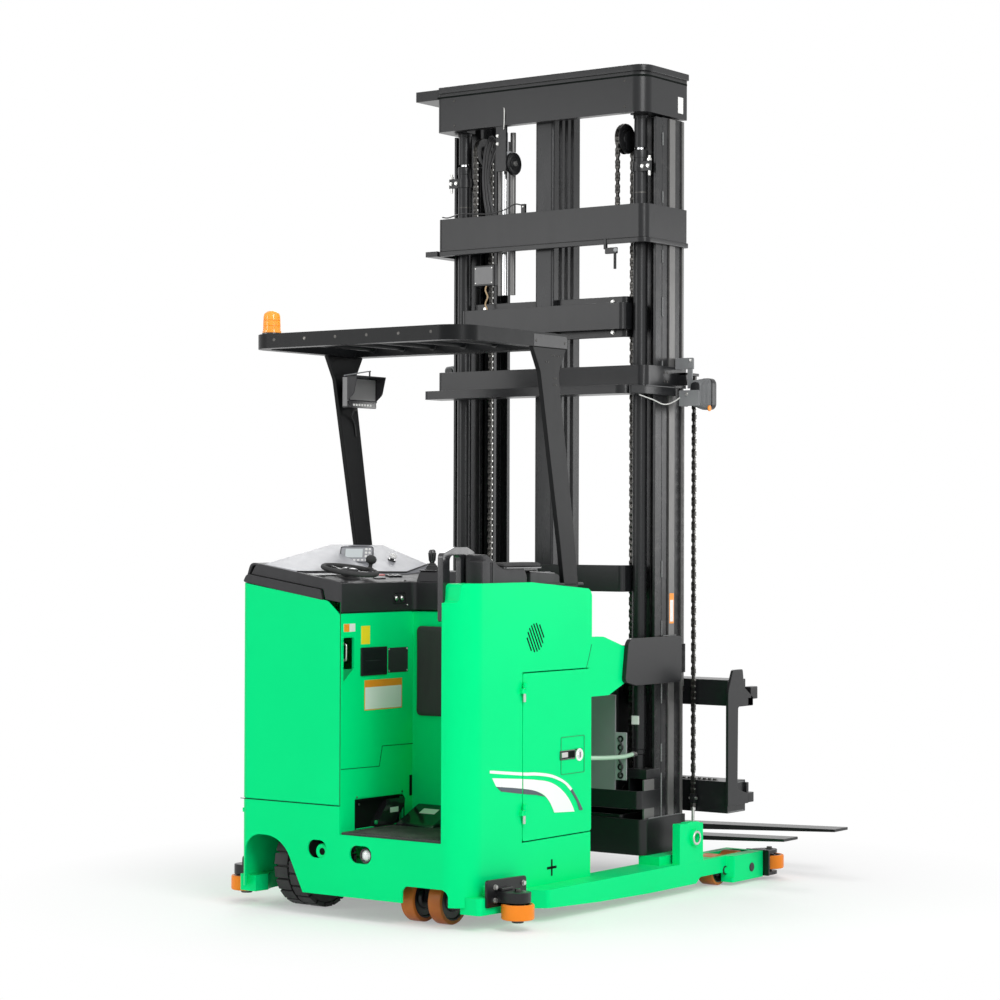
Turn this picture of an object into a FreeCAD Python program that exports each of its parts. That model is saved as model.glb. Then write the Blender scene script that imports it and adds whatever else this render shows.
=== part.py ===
import FreeCAD, Part
import math
import os

import Sketcher
from FreeCAD import Placement, Rotation, Vector

# Turret truck. X runs forward to the mast and forks, Y to the left, Z up.
# The sizes below are in millimetres, measured from the rear face of the body,
# from its centre plane and from the floor. The last step of every piece shifts
# it so that the origin is the middle of the footprint.

SIZES = (
    # body
    ("body_length", 840),
    ("body_width", 1110),
    ("body_bottom", 87),
    ("skin", 8),
    ("wall", 12),
    ("cover_seam", 430),
    ("corner_right", 110),
    ("corner_left", 40),
    ("corner_front", 10),
    ("floor_height", 323),
    ("entry_right", 444),
    ("entry_left", 46),
    ("entry_depth", 457),
    ("panel_top", 1294),
    ("panel_front_top", 1262),
    ("panel_slope_start", 424),
    ("notch_top", 1222),
    ("notch_length", 20),
    ("rail_thick", 31),
    ("cover_top_left", 1285),
    ("cover_top_right", 1219),
    ("cover_shoulder", 110),
    ("hood_bottom", 1170),
    ("deck_low", 1288),
    ("deck_high", 1368),
    ("deck_edge", 520),
    # battery door
    ("door_rear", 370),
    ("door_front", 837),
    ("door_bottom", 305),
    ("door_top", 946),
    ("door_thick", 25),
    ("door_gap", 5),
    ("hinge_forward", 366),
    ("hinge_out", 11),
    ("hinge_pin_radius", 4.5),
    ("knuckle_radius", 8),
    ("knuckle_length", 20),
    ("hinge_low", 405),
    ("hinge_high", 870),
    # battery
    ("battery_rear", 480),
    ("battery_length", 340),
    ("battery_width", 520),
    ("battery_height", 770),
    ("tray_height", 118),
    # legs
    ("leg_bottom", 34),
    ("leg_top", 125),
    ("leg_inner", 505),
    ("leg_narrow", 596),
    ("leg_outer", 655),
    ("leg_end_outer", 690),
    ("leg_rear", 40),
    ("leg_flare", 352),
    ("leg_front", 1960),
    ("leg_end_rear", 1706),
    ("leg_end_bottom", 15),
    ("ledge_top", 195),
    ("pad_height", 35),
    ("lug_forward", 1451),
    ("lug_height", 226),
    ("lug_bore_radius", 20),
    ("lug_boss_radius", 35),
    ("lug_boss_length", 12),
    ("lug_top", 291),
    # wheels
    ("load_wheel_radius", 65),
    ("load_wheel_width", 75),
    ("load_wheel_side", 590),
    ("load_wheel_rear", 1700),
    ("load_wheel_step", 160),
    ("load_axle_radius", 12.5),
    ("drive_radius", 170),
    ("drive_width", 140),
    ("drive_forward", 232),
    ("drive_side", 357),
    ("drive_axle_radius", 30),
    ("spindle_radius", 45),
    ("mount_height", 377),
    ("mount_thick", 16),
    ("caster_radius", 90),
    ("caster_width", 60),
    ("caster_forward", 150),
    ("caster_trail", 50),
    ("caster_side", -300),
    ("caster_fork_width", 60),
    ("caster_axle_radius", 15),
    ("caster_spindle_radius", 25),
    ("roller_radius", 62.5),
    ("roller_height", 60),
    ("roller_bottom", 42),
    ("roller_side", 672),
    ("roller_rear", 176),
    ("roller_front", 2040),
    ("roller_pin_radius", 12),
    # guard
    ("guard_top", 2263),
    ("guard_band", 57),
    ("guard_side", 529),
    ("guard_length", 698),
    ("guard_corner", 110),
    ("post_thick", 20),
    ("slat_radius", 12),
    ("slat_pitch", 155),
    # steering wheel
    ("wheel_forward", 180),
    ("wheel_side", 150),
    ("wheel_lift", 30),
    ("wheel_ring_radius", 106),
    ("wheel_rim_radius", 10),
    ("column_radius", 12),
    # mast
    ("rail_rear", 1262),
    ("rail_front", 1560),
    ("channel_rear", 1400),
    ("rail_flange", 22),
    ("rail_web", 12),
    ("rail_width", 50),
    ("outer_rail_side", 524),
    ("rail_gap", 5),
    ("band_thick", 12),
    ("mast_foot", 160),
    ("outer_mast_top", 3215),
    ("mast_top", 3414),
    ("stage_foot", 200),
    ("inner_mast_top", 3205),
    ("lift_cylinder_radius", 30),
    ("lift_rod_radius", 18),
    ("lift_cylinder_forward", 1340),
    ("lift_cylinder_side", 455),
    ("lift_cylinder_foot", 510),
    ("lift_cylinder_top", 3075),
    ("column_rear", 1290),
    ("column_length", 210),
    ("column_half", 47),
    # carriage
    ("carriage_bottom", 315),
    ("carriage_plate_side", 330),
    ("carriage_plate_thick", 30),
    ("cross_rail_rear", 1610),
    ("cross_rail_depth", 145),
    ("cross_rail_half", 720),
    ("lower_rail_height", 132),
    ("upper_rail_bottom", 763),
    ("upper_rail_height", 108),
    ("end_plate_thick", 12),
    ("end_plate_top", 916),
    # turret
    ("pivot_forward", 2100),
    ("pivot_side", 270),
    ("slider_half", 90),
    ("slider_plate_rear", 1760),
    ("slider_plate_thick", 40),
    ("arm_half", 85),
    ("arm_thick", 55),
    ("lower_arm_bottom", 285),
    ("upper_arm_bottom", 870),
    ("pivot_pin_radius", 30),
    ("drum_radius", 84),
    ("fork_bar_reach", 140),
    ("fork_bar_thick", 40),
    ("fork_spread", 442),
    ("fork_width", 120),
    ("fork_thick", 32),
    ("fork_length", 1000),
    ("fork_bottom", 138),
    ("fork_shank_top", 740),
    ("fork_tip_rise", 30),
    ("fork_tip_thick", 12),
    # clearances
    ("running_gap", 0.05),
    ("pad_gap", 0.3),
    ("moving_gap", 5),
)

document = FreeCAD.newDocument("turret_truck")
sheet = document.addObject("Spreadsheet::Sheet", "dims")


class Size:
    """A length that knows its number and the sheet formula behind it."""

    def __init__(self, value, formula):
        self.value = float(value)
        self.formula = formula

    def __add__(self, other):
        return joined(self, "+", other)

    __radd__ = __add__

    def __sub__(self, other):
        return joined(self, "-", other)

    def __rsub__(self, other):
        return joined(other, "-", self)

    def __mul__(self, other):
        return joined(self, "*", other)

    __rmul__ = __mul__

    def __truediv__(self, other):
        return joined(self, "/", other)

    def __neg__(self):
        return joined(0, "-", self)


def number(size):
    return size.value if isinstance(size, Size) else float(size)


def formula(size):
    return size.formula if isinstance(size, Size) else repr(float(size))


def joined(left, sign, right):
    first, second = number(left), number(right)
    if sign == "+":
        value = first + second
    elif sign == "-":
        value = first - second
    elif sign == "*":
        value = first * second
    else:
        value = first / second
    return Size(value, "(%s %s %s)" % (formula(left), sign, formula(right)))


class Dims:
    """The sheet's sizes by name."""


d = Dims()
for row, (alias, value) in enumerate(SIZES, start=1):
    sheet.set("A%d" % row, alias)
    sheet.set("B%d" % row, str(value))
    sheet.setAlias("B%d" % row, alias)
    setattr(d, alias, Size(value, "dims." + alias))
document.recompute()

# Front and rear of the rails of each mast stage.
outer_ends = (d.channel_rear, d.rail_front)
middle_ends = (d.channel_rear + d.moving_gap, d.rail_front - d.moving_gap)
inner_ends = (middle_ends[0] + d.rail_flange + d.moving_gap, middle_ends[1])

# Places that several pieces share.
half = d.body_width / 2
pivot_x = d.pivot_forward
pivot_y = d.pivot_side
fork_tip = pivot_y - d.fork_bar_reach - d.fork_length
front_edge = pivot_x + d.fork_spread / 2 + d.fork_width / 2
left_edge = d.roller_side + d.roller_radius
origin_x = front_edge / 2
origin_y = (left_edge + fork_tip) / 2


# ---------------------------------------------------------------- helpers

PLANES = {"xy": "XY_Plane", "xz": "XZ_Plane", "yz": "YZ_Plane"}
TURNS = {
    "x": Rotation(Vector(0, 1, 0), 90),
    "y": Rotation(Vector(1, 0, 0), -90),
    "z": Rotation(),
}


def bind(item, name, size):
    item.setExpression(name, formula(size))


def place(item, x, y, z):
    bind(item, "Placement.Base.x", x - origin_x)
    bind(item, "Placement.Base.y", y - origin_y)
    bind(item, "Placement.Base.z", z)


def box(name, x, y, z):
    """A block from its low and high limits along each axis."""
    item = document.addObject("Part::Box", name)
    for side, (low, high) in zip(("Length", "Width", "Height"), (x, y, z)):
        bind(item, side, high - low)
    place(item, x[0], y[0], z[0])
    return item


def rod(name, axis, centre, reach, radius):
    """A cylinder along an axis: centre holds the two other coordinates."""
    low, high = reach
    item = document.addObject("Part::Cylinder", name)
    item.Placement = Placement(Vector(), TURNS[axis])
    bind(item, "Radius", radius)
    bind(item, "Height", high - low)
    spots = {"x": (low, centre[0], centre[1]),
             "y": (centre[0], low, centre[1]),
             "z": (centre[0], centre[1], low)}
    place(item, *spots[axis])
    return item


def rounding(before, corner, after, radius):
    """Where a rounded corner starts and ends, and its centre."""
    back = (before - corner).normalize()
    ahead = (after - corner).normalize()
    opening = back.getAngle(ahead) / 2
    run = radius / math.tan(opening)
    centre = corner + (back + ahead).normalize() * (radius / math.sin(opening))
    return corner + back * run, centre, corner + ahead * run


def draw_loop(sketch, corners):
    """A closed outline with every corner, and every rounding, bound."""
    count = len(corners)
    spots = [Vector(number(one[0]), number(one[1]), 0) for one in corners]
    starts, ends, arcs = list(spots), list(spots), {}
    for here in range(count):
        if len(corners[here]) < 3:
            continue
        after = spots[(here + 1) % count]
        radius = number(corners[here][2])
        entry, centre, leave = rounding(spots[here - 1], spots[here], after, radius)
        turn = (spots[here] - spots[here - 1]).cross(after - spots[here]).z
        ends[here], starts[here] = entry, leave
        arcs[here] = (centre, entry, leave, radius, turn > 0)
    first = sketch.GeometryCount
    for here in range(count):
        line = Part.LineSegment(starts[here], ends[(here + 1) % count])
        sketch.addGeometry(line, False)
    rules, sizes = [], []
    for here in range(count):
        line, previous = first + here, first + (here - 1) % count
        spot_item = line
        if here in arcs:
            centre, entry, leave, radius, leftward = arcs[here]
            begin, finish = (entry, leave) if leftward else (leave, entry)
            circle = Part.Circle(centre, Vector(0, 0, 1), radius)
            low = math.atan2(begin.y - centre.y, begin.x - centre.x)
            high = math.atan2(finish.y - centre.y, finish.x - centre.x)
            arc = sketch.addGeometry(Part.ArcOfCircle(circle, low, high), False)
            spot_item = sketch.addGeometry(Part.Point(spots[here]), True)
            near, far = (1, 2) if leftward else (2, 1)
            rules.append(Sketcher.Constraint("Tangent", previous, 2, arc, near))
            rules.append(Sketcher.Constraint("Tangent", arc, far, line, 1))
            rules.append(Sketcher.Constraint("PointOnObject", spot_item, 1, previous))
            rules.append(Sketcher.Constraint("PointOnObject", spot_item, 1, line))
            sizes.append((len(rules), corners[here][2]))
            rules.append(Sketcher.Constraint("Radius", arc, radius))
        else:
            rules.append(Sketcher.Constraint("Coincident", previous, 2, line, 1))
        for kind, place_in, value in (("DistanceX", 0, spots[here].x),
                                      ("DistanceY", 1, spots[here].y)):
            sizes.append((len(rules), corners[here][place_in]))
            rules.append(Sketcher.Constraint(kind, -1, 1, spot_item, 1, value))
    base = sketch.ConstraintCount
    sketch.addConstraint(rules)
    for index, size in sizes:
        bind(sketch, "Constraints[%d]" % (base + index), size)


def open_sketch(body, plane, height):
    sketch = body.newObject("Sketcher::SketchObject", body.Name + "_sketch")
    support = [one for one in body.Origin.OriginFeatures
               if one.Role == PLANES[plane]]
    sketch.AttachmentSupport = [(support[0], "")]
    sketch.MapMode = "FlatFace"
    bind(sketch, "AttachmentOffset.Base.z", height)
    return sketch


def plate(name, plane, reach, *loops):
    """A body padded from outlines: the first is its edge, the rest holes."""
    low, high = reach
    body = document.addObject("PartDesign::Body", name)
    sketch = open_sketch(body, plane, -high if plane == "xz" else low)
    for corners in loops:
        draw_loop(sketch, corners)
    pad = body.newObject("PartDesign::Pad", name + "_solid")
    pad.Profile = sketch
    bind(pad, "Length", high - low)
    place(body, Size(0, "0"), Size(0, "0"), Size(0, "0"))
    return body


def fuse(name, *pieces):
    item = document.addObject("Part::MultiFuse", name)
    item.Shapes = list(pieces)
    return item


def cut(name, base, *tools):
    tool = tools[0] if len(tools) == 1 else fuse(name + "_tools", *tools)
    item = document.addObject("Part::Cut", name)
    item.Base = base
    item.Tool = tool
    return item


def common(name, *pieces):
    item = document.addObject("Part::MultiCommon", name)
    item.Shapes = list(pieces)
    return item


def group(name, *pieces):
    item = document.addObject("Part::Compound", name)
    item.Links = list(pieces)
    return item


pieces = []


def keep(item, label):
    item.Label = label
    pieces.append(item)
    return item


def band(low, high, side):
    """Limits across the truck for one side, lower first."""
    return (low, high) if side > 0 else (-high, -low)


def across(corners, side):
    """An outline seen from above for one side of the truck."""
    return [(one[0], one[1] * side) + tuple(one[2:]) for one in corners]


def sideways(corners, side):
    """An outline seen from behind for one side of the truck."""
    return [(one[0] * side,) + tuple(one[1:]) for one in corners]


def word(side):
    return "left" if side > 0 else "right"


# ---------------------------------------------------------------- chassis

def make_chassis():
    skin, wall = d.skin, d.wall
    length = d.body_length
    shell = plate(
        "shell", "xy", (d.body_bottom, d.cover_seam),
        [(0, -half, d.corner_right), (length, -half, d.corner_front),
         (length, half, d.corner_front), (0, half, d.corner_left)],
        [(skin, skin - half, d.corner_right - skin),
         (length - skin, skin - half), (length - skin, half - skin),
         (skin, half - skin, d.corner_left - skin)])
    floor = box("floor", (0, d.entry_depth + wall),
                (-d.entry_right, d.entry_left + wall),
                (d.floor_height - wall, d.floor_height))
    tower = plate(
        "tower", "xy", (d.floor_height - wall, d.panel_top + wall),
        [(0, -half, d.corner_right), (d.entry_depth, -half),
         (d.entry_depth, -d.entry_right), (0, -d.entry_right)])
    side_rail = box("side_rail", (d.entry_depth, length),
                    (-half, d.rail_thick - half),
                    (d.floor_height, d.panel_top + wall))
    top_line = plate(
        "top_line", "xz", (-half - 1, 1 - d.entry_right),
        [(-1, d.body_bottom), (-1, d.notch_top, 5),
         (d.notch_length, d.notch_top, 12),
         (d.notch_length + 6, d.panel_top, 18),
         (d.panel_slope_start, d.panel_top, 60),
         (length, d.panel_front_top, 35), (length, d.body_bottom)])
    tower_part = common("tower_part", fuse("tower_blank", tower, side_rail), top_line)
    inner_face = -d.entry_right - skin
    rear_void = plate(
        "rear_void", "xy", (d.floor_height, d.notch_top - wall),
        [(skin, skin - half, half - d.entry_right - 2 * skin - 1),
         (d.door_rear - 2 * wall, skin - half),
         (d.door_rear - 2 * wall, inner_face), (skin, inner_face)])
    top_void = box("top_void", (d.corner_right, d.door_rear - 2 * wall),
                   (skin - half, inner_face),
                   (d.notch_top - 2 * wall, d.panel_top - skin))
    front_void = box("front_void", (d.door_rear - wall, d.entry_depth - skin),
                     (d.rail_thick + wall - half, inner_face),
                     (d.floor_height, d.panel_front_top))
    recess = box("door_recess", (d.door_rear - d.door_gap, length + 1),
                 (-half - 1, d.rail_thick - half),
                 (d.door_bottom - d.door_gap, d.door_top + d.door_gap))
    step = box("step", (-1, skin + 1), (-d.entry_right, d.entry_left),
               (d.floor_height, d.cover_seam + 1))
    drive_arch_out = half - 26
    arch_reach = (-1, d.corner_left - 5)
    drive_arch = plate(
        "drive_arch", "yz", arch_reach,
        [(215, 60), (drive_arch_out, 60), (drive_arch_out, 296, 80),
         (335, 296, 140)])
    caster_arch = plate(
        "caster_arch", "yz", arch_reach,
        [(-475, 60), (-260, 60), (-260, 152, 30), (-475, 152, 30)])
    tow_hole = plate("tow_hole", "yz", (-1, skin + 1),
                     [(110, 225, 34), (205, 225, 34), (205, 295, 34), (110, 295, 34)])
    lamp_hole = plate("lamp_hole", "yz", (-1, skin + 1),
                      [(-112, 219, 33), (-5, 219, 33), (-5, 287, 33), (-112, 287, 33)])
    leg_rooms = [
        box("leg_room_" + word(side), (d.leg_rear - 2, length + 1),
            band(d.leg_inner - d.moving_gap, half + 1, side),
            (d.body_bottom - 1, d.leg_top))
        for side in (-1, 1)]
    bulkhead = box("bulkhead", (length - wall, length),
                   (d.rail_thick - half, half - skin),
                   (d.cover_seam - wall, d.deck_low - 2 * wall))
    bulkhead_foot = box("bulkhead_foot", (length - wall, length - skin),
                        (d.rail_thick - half, half - skin),
                        (d.leg_top + wall, d.cover_seam))
    tray = box("tray", (d.entry_depth + wall, length - skin),
               (d.rail_thick - half, 3 * wall),
               (d.tray_height, d.tray_height + wall))
    drive_plate = box("drive_plate", (skin, d.entry_depth + wall),
                      (d.drive_side - 235, half - skin),
                      (d.mount_height, d.mount_height + d.mount_thick))
    spindle_hole = rod("spindle_hole", "z", (d.drive_forward, d.drive_side),
                       (d.mount_height - 1, d.mount_height + d.mount_thick + 1),
                       d.spindle_radius + d.running_gap)
    swivel_x = d.caster_forward + d.caster_trail
    mount = box("caster_mount", (swivel_x - 90, swivel_x + 90),
                (d.caster_side - 90, d.caster_side + 90),
                (262, d.floor_height - wall))
    swivel_hole = rod("swivel_hole", "z", (swivel_x, d.caster_side), (261, 305),
                      d.caster_spindle_radius + d.running_gap)
    lip = plate(
        "cover_lip", "xy", (d.cover_seam - 15, d.cover_seam + 15),
        [(skin, d.entry_left + wall), (skin, half - skin, d.corner_left - skin),
         (length - 2 * wall, half - skin), (length - 2 * wall, half - skin - 6),
         (skin + 6, half - skin - 6, d.corner_left - skin - 6),
         (skin + 6, d.entry_left + wall)])
    brackets = [
        plate("mast_bracket_" + word(side), "xz",
              band(d.outer_rail_side + d.band_thick - 25,
                   d.outer_rail_side + d.band_thick, side),
              [(length, 832), (length + 150, 832, 60), (d.rail_rear - 144, 880),
               (d.rail_rear - 144, 1020), (length + 110, 1069, 60),
               (length, 1069)])
        for side in (-1, 1)]
    hinge_y = -half - d.hinge_out
    knuckles = []
    for name, low in (("low", d.hinge_low), ("high", d.hinge_high)):
        knuckles.append(box("frame_ear_" + name, (d.hinge_forward - 19, d.hinge_forward),
                            (hinge_y - 3, -half), (low, low + d.knuckle_length)))
        knuckles.append(rod("frame_knuckle_" + name, "z", (d.hinge_forward, hinge_y),
                            (low, low + d.knuckle_length), d.knuckle_radius))
        knuckles.append(rod("hinge_pin_" + name, "z", (d.hinge_forward, hinge_y),
                            (low, low + 2 * d.knuckle_length + 4),
                            d.hinge_pin_radius))
    blank = cut("chassis_shell", fuse("chassis_blank", shell, floor, tower_part,
                                      bulkhead, bulkhead_foot, tray),
                rear_void, top_void, front_void, recess, step, drive_arch,
                caster_arch, tow_hole, lamp_hole, *leg_rooms)
    plates = cut("chassis_plates", fuse("plates_blank", drive_plate, mount),
                 spindle_hole, swivel_hole)
    upper_room = box("upper_room", (-1, length + 1), (-half - 1, half + 1),
                     (d.cover_seam, d.panel_top + wall))
    keep(fuse("chassis", cut("lower_shell", blank, upper_room), plates, lip,
              *knuckles[:3]), "chassis_frame")
    keep(fuse("tower_weldment", common("upper_shell", blank, upper_room),
              *(brackets + knuckles[3:])), "side_tower")


def make_legs():
    for side in (-1, 1):
        tag = word(side)
        slot_low = d.load_wheel_rear - d.load_wheel_radius - 10
        slot_high = d.load_wheel_rear + d.load_wheel_step + d.load_wheel_radius + 10
        slot_in = d.load_wheel_side - d.load_wheel_width / 2 - d.moving_gap
        slot_out = d.load_wheel_side + d.load_wheel_width / 2 + d.moving_gap
        slot = box("leg_slot_" + tag, (slot_low, slot_high), band(slot_in, slot_out, side),
                   (d.leg_end_bottom - 1, d.leg_top + 1))
        beam = plate(
            "leg_beam_" + tag, "xy", (d.leg_bottom, d.leg_top),
            across([(d.leg_rear, d.leg_inner), (d.leg_front, d.leg_inner),
                    (d.leg_front, d.leg_end_outer, 8),
                    (d.leg_end_rear + 12, d.leg_end_outer, 8),
                    (d.leg_end_rear, d.leg_outer),
                    (d.leg_flare + 48, d.leg_outer, 30),
                    (d.leg_flare, d.leg_narrow, 30),
                    (d.leg_rear, d.leg_narrow, 20)], side))
        shoe = plate(
            "leg_shoe_" + tag, "xy", (d.leg_end_bottom, d.leg_bottom),
            across([(d.leg_end_rear, d.leg_inner), (d.leg_front, d.leg_inner),
                    (d.leg_front, d.leg_end_outer, 8),
                    (d.leg_end_rear, d.leg_end_outer, 8)], side))
        arch = plate(
            "leg_arch_" + tag, "xz", band(d.leg_inner - 1, d.leg_outer + 1, side),
            [(d.leg_end_rear - 238, d.leg_bottom - 1), (d.leg_end_rear, d.leg_bottom - 1),
             (d.leg_end_rear, d.leg_bottom + 24, 10),
             (d.leg_end_rear - 205, d.leg_bottom + 24, 30)])
        taper = plate(
            "leg_taper_" + tag, "xz", band(d.leg_inner - 1, d.leg_outer + 1, side),
            [(d.leg_rear - 1, d.leg_bottom - 1), (1150, d.leg_bottom - 1),
             (750, d.leg_bottom + 7), (400, d.leg_bottom + 22),
             (d.leg_rear - 1, d.leg_bottom + 28)])
        rear_ledge = plate(
            "leg_rear_ledge_" + tag, "yz", (d.corner_right + 4, d.leg_flare),
            sideways([(half, d.leg_top), (d.leg_narrow - 4, d.leg_top),
                      (half, d.ledge_top - 30)], side))
        pad = box("leg_pad_" + tag, (d.rail_rear, d.rail_front),
                  band(d.leg_inner, d.leg_inner + 100, side),
                  (d.leg_top, d.leg_top + d.pad_height))
        lug = plate(
            "leg_lug_" + tag, "xz", band(d.leg_outer - 35, d.leg_outer, side),
            [(d.lug_forward - 112, d.leg_top), (d.lug_forward - 110, d.lug_top - 25, 60),
             (d.lug_forward - 40, d.lug_top, 40), (d.lug_forward + 50, d.lug_top, 30),
             (d.lug_forward + 73, d.leg_top)])
        boss = rod("lug_boss_" + tag, "y", (d.lug_forward, d.lug_height),
                   band(d.leg_outer, d.leg_outer + d.lug_boss_length, side),
                   d.lug_boss_radius)
        bore = rod("lug_bore_" + tag, "y", (d.lug_forward, d.lug_height),
                   band(d.leg_outer - 36, d.leg_outer + d.lug_boss_length + 1, side),
                   d.lug_bore_radius)
        tools = [arch, taper, bore, slot]
        if side > 0:
            sweep = math.hypot(number(d.drive_radius), number(d.drive_width) / 2)
            tools.append(rod("wheel_room", "z", (d.drive_forward, d.drive_side),
                             (d.leg_bottom - 1, d.leg_top + 1),
                             d.drive_radius + d.moving_gap + (sweep - number(d.drive_radius))))
        body = cut("leg_cut_" + tag,
                   fuse("leg_blank_" + tag, beam, shoe, rear_ledge, pad, lug, boss),
                   *tools)
        axles = [
            rod("load_axle_%s_%d" % (tag, step), "y",
                (d.load_wheel_rear + step * d.load_wheel_step, d.load_wheel_radius),
                band(slot_in - 20, slot_out + 30, side), d.load_axle_radius)
            for step in (0, 1)]
        keep(fuse("leg_" + tag, body, *axles), "straddle_leg_" + tag)


def make_roller_brackets():
    parts = []
    low, high = d.roller_bottom, d.roller_bottom + d.roller_height
    for side in (-1, 1):
        tag = word(side)
        for end, forward in (("rear", d.roller_rear), ("front", d.roller_front)):
            name = "%s_%s" % (end, tag)
            if end == "rear":
                face = box("bracket_plate_" + name, (forward - 92, forward + 92),
                           band(d.leg_narrow, d.leg_narrow + 8, side),
                           (d.leg_bottom + 4, d.leg_top))
                arm = plate(
                    "bracket_arm_" + name, "xy", (high + d.moving_gap, d.leg_top - 1),
                    across([(forward - 62, d.leg_narrow + 8),
                            (forward + 62, d.leg_narrow + 8),
                            (forward + 40, d.roller_side + 38, 24),
                            (forward - 40, d.roller_side + 38, 24)], side))
            else:
                face = box("bracket_plate_" + name, (d.leg_front, d.leg_front + 10),
                           band(d.leg_outer - 55, d.roller_side + 43, side),
                           (30, d.leg_top))
                arm = plate(
                    "bracket_arm_" + name, "xy", (high + d.moving_gap, d.leg_top - 1),
                    across([(d.leg_front + 10, d.roller_side - 45),
                            (forward + 34, d.roller_side - 30, 20),
                            (forward + 34, d.roller_side + 36, 24),
                            (d.leg_front + 10, d.roller_side + 40)], side))
            pin = rod("roller_pin_" + name, "z", (forward, side * d.roller_side),
                      (low - 12, high + d.moving_gap), d.roller_pin_radius)
            washer = rod("roller_washer_" + name, "z", (forward, side * d.roller_side),
                         (low - 12, low - 4), d.roller_pin_radius + 10)
            parts.append(fuse("roller_bracket_" + name, face, arm, pin, washer))
    keep(group("brackets", *parts), "roller_brackets")


def make_panels():
    skin, wall, length = d.skin, d.wall, d.body_length
    cover_edge = 60
    plan = plate(
        "cover_plan", "xy", (d.cover_seam + 3, d.cover_top_left + 5),
        [(0, d.entry_left), (0, half, d.corner_left), (cover_edge, half),
         (cover_edge, half - skin), (skin, half - skin, d.corner_left - skin),
         (skin, d.entry_left)])
    face = plate(
        "cover_face", "yz", (-1, cover_edge + 1),
        [(d.entry_left, d.cover_seam), (half, d.cover_seam),
         (half, d.cover_top_left), (d.cover_shoulder, d.cover_top_right, 40),
         (d.entry_left, d.hood_bottom - 5, 12)])
    keep(common("cover", plan, face), "rear_left_cover")

    side_panel = plate(
        "side_skin", "xz", (half - skin, half),
        [(cover_edge, d.cover_seam + 3), (cover_edge, d.cover_top_left),
         (d.panel_slope_start, d.cover_top_left, 60),
         (length, d.panel_front_top, 35), (length, d.cover_seam + 3)])
    side_rail = plate(
        "side_rail_left", "xz", (half - d.rail_thick, half - skin),
        [(length - 250, d.door_top), (length - 250, d.panel_front_top - 20),
         (length - wall, d.panel_front_top - 20), (length - wall, d.door_top)])
    keep(fuse("side", side_panel, side_rail), "left_side_panel")

    liner_front = box("liner_front", (d.entry_depth, d.entry_depth + wall),
                      (-d.entry_right - 2 * wall, d.entry_left),
                      (d.floor_height, d.hood_bottom))
    liner_side = box("liner_side", (skin, d.entry_depth + wall),
                     (d.entry_left, d.entry_left + wall),
                     (d.floor_height, d.hood_bottom))
    liner = fuse("liner_blank", liner_front, liner_side)
    holes = [
        box("handle_hole", (18, 84), (d.entry_left - 1, d.entry_left + wall + 1),
            (955, 1078)),
        box("kick_hole", (95, 400), (d.entry_left - 1, d.entry_left + wall + 1),
            (d.floor_height + 12, d.floor_height + 125)),
    ]
    keep(cut("liner", liner, *holes), "compartment_liner")

    deck_rise = (d.deck_high - d.deck_low) / (d.deck_edge - d.entry_left)
    deck = plate(
        "deck", "yz", (0, length - wall),
        [(d.entry_left, d.hood_bottom), (d.entry_left, d.deck_low, 20),
         (d.deck_edge, d.deck_high, 25), (half - skin, d.cover_top_left),
         (half - skin - wall, d.cover_top_left),
         (d.deck_edge - wall, d.deck_high - wall, 14),
         (d.entry_left + wall, d.deck_low - wall + wall * deck_rise, 9),
         (d.entry_left + wall, d.hood_bottom)])
    rear_gap = box("deck_rear_gap", (-1, skin), (0, half),
                   (d.hood_bottom - 10, d.cover_top_right))
    cap = plate(
        "deck_cap", "yz", (0, skin),
        [(d.entry_left, d.hood_bottom - 5, 12),
         (d.cover_shoulder, d.cover_top_right, 40), (half - skin, d.cover_top_left),
         (d.deck_edge, d.deck_high, 25), (d.entry_left, d.deck_low, 20)])
    front_deck = box("front_deck", (d.entry_depth + wall, length - wall),
                     (d.rail_thick - half, d.entry_left + wall),
                     (d.deck_low - wall, d.deck_low))
    front_face = box("front_face", (d.entry_depth, d.entry_depth + wall),
                     (-d.entry_right - 2 * wall, d.entry_left + wall),
                     (d.hood_bottom, d.deck_low))
    rooms = [
        box("post_room_" + word(side), (length - 250, length),
            band(d.guard_side - d.post_thick - 2 * d.moving_gap - 1, half - skin - (0 if side > 0 else 8), side),
            (d.hood_bottom, d.deck_high + 60))
        for side in (-1, 1)]
    hood = cut("hood", fuse("hood_blank", cut("deck_cut", deck, rear_gap), cap,
                            front_deck, front_face), *rooms)
    keep(hood, "top_hood")

    console_low, console_high = 290, 494

    def deck_at(side):
        return d.deck_low + (side - d.entry_left) * deck_rise

    console_rise = plate(
        "console_rise", "yz", (20, length - 20),
        [(console_low, deck_at(console_low)), (console_high - 12, 1434),
         (console_high, 1434), (console_high, deck_at(console_high))])
    console_side = plate(
        "console_side", "xz", (console_low - 5, console_high + 5),
        [(20, 1300), (20, 1350), (486, 1434), (length - 20, 1434), (length - 20, 1300)])
    panel = common("console", console_rise, console_side)
    keep(panel, "console_panel")
    return deck_rise


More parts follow.
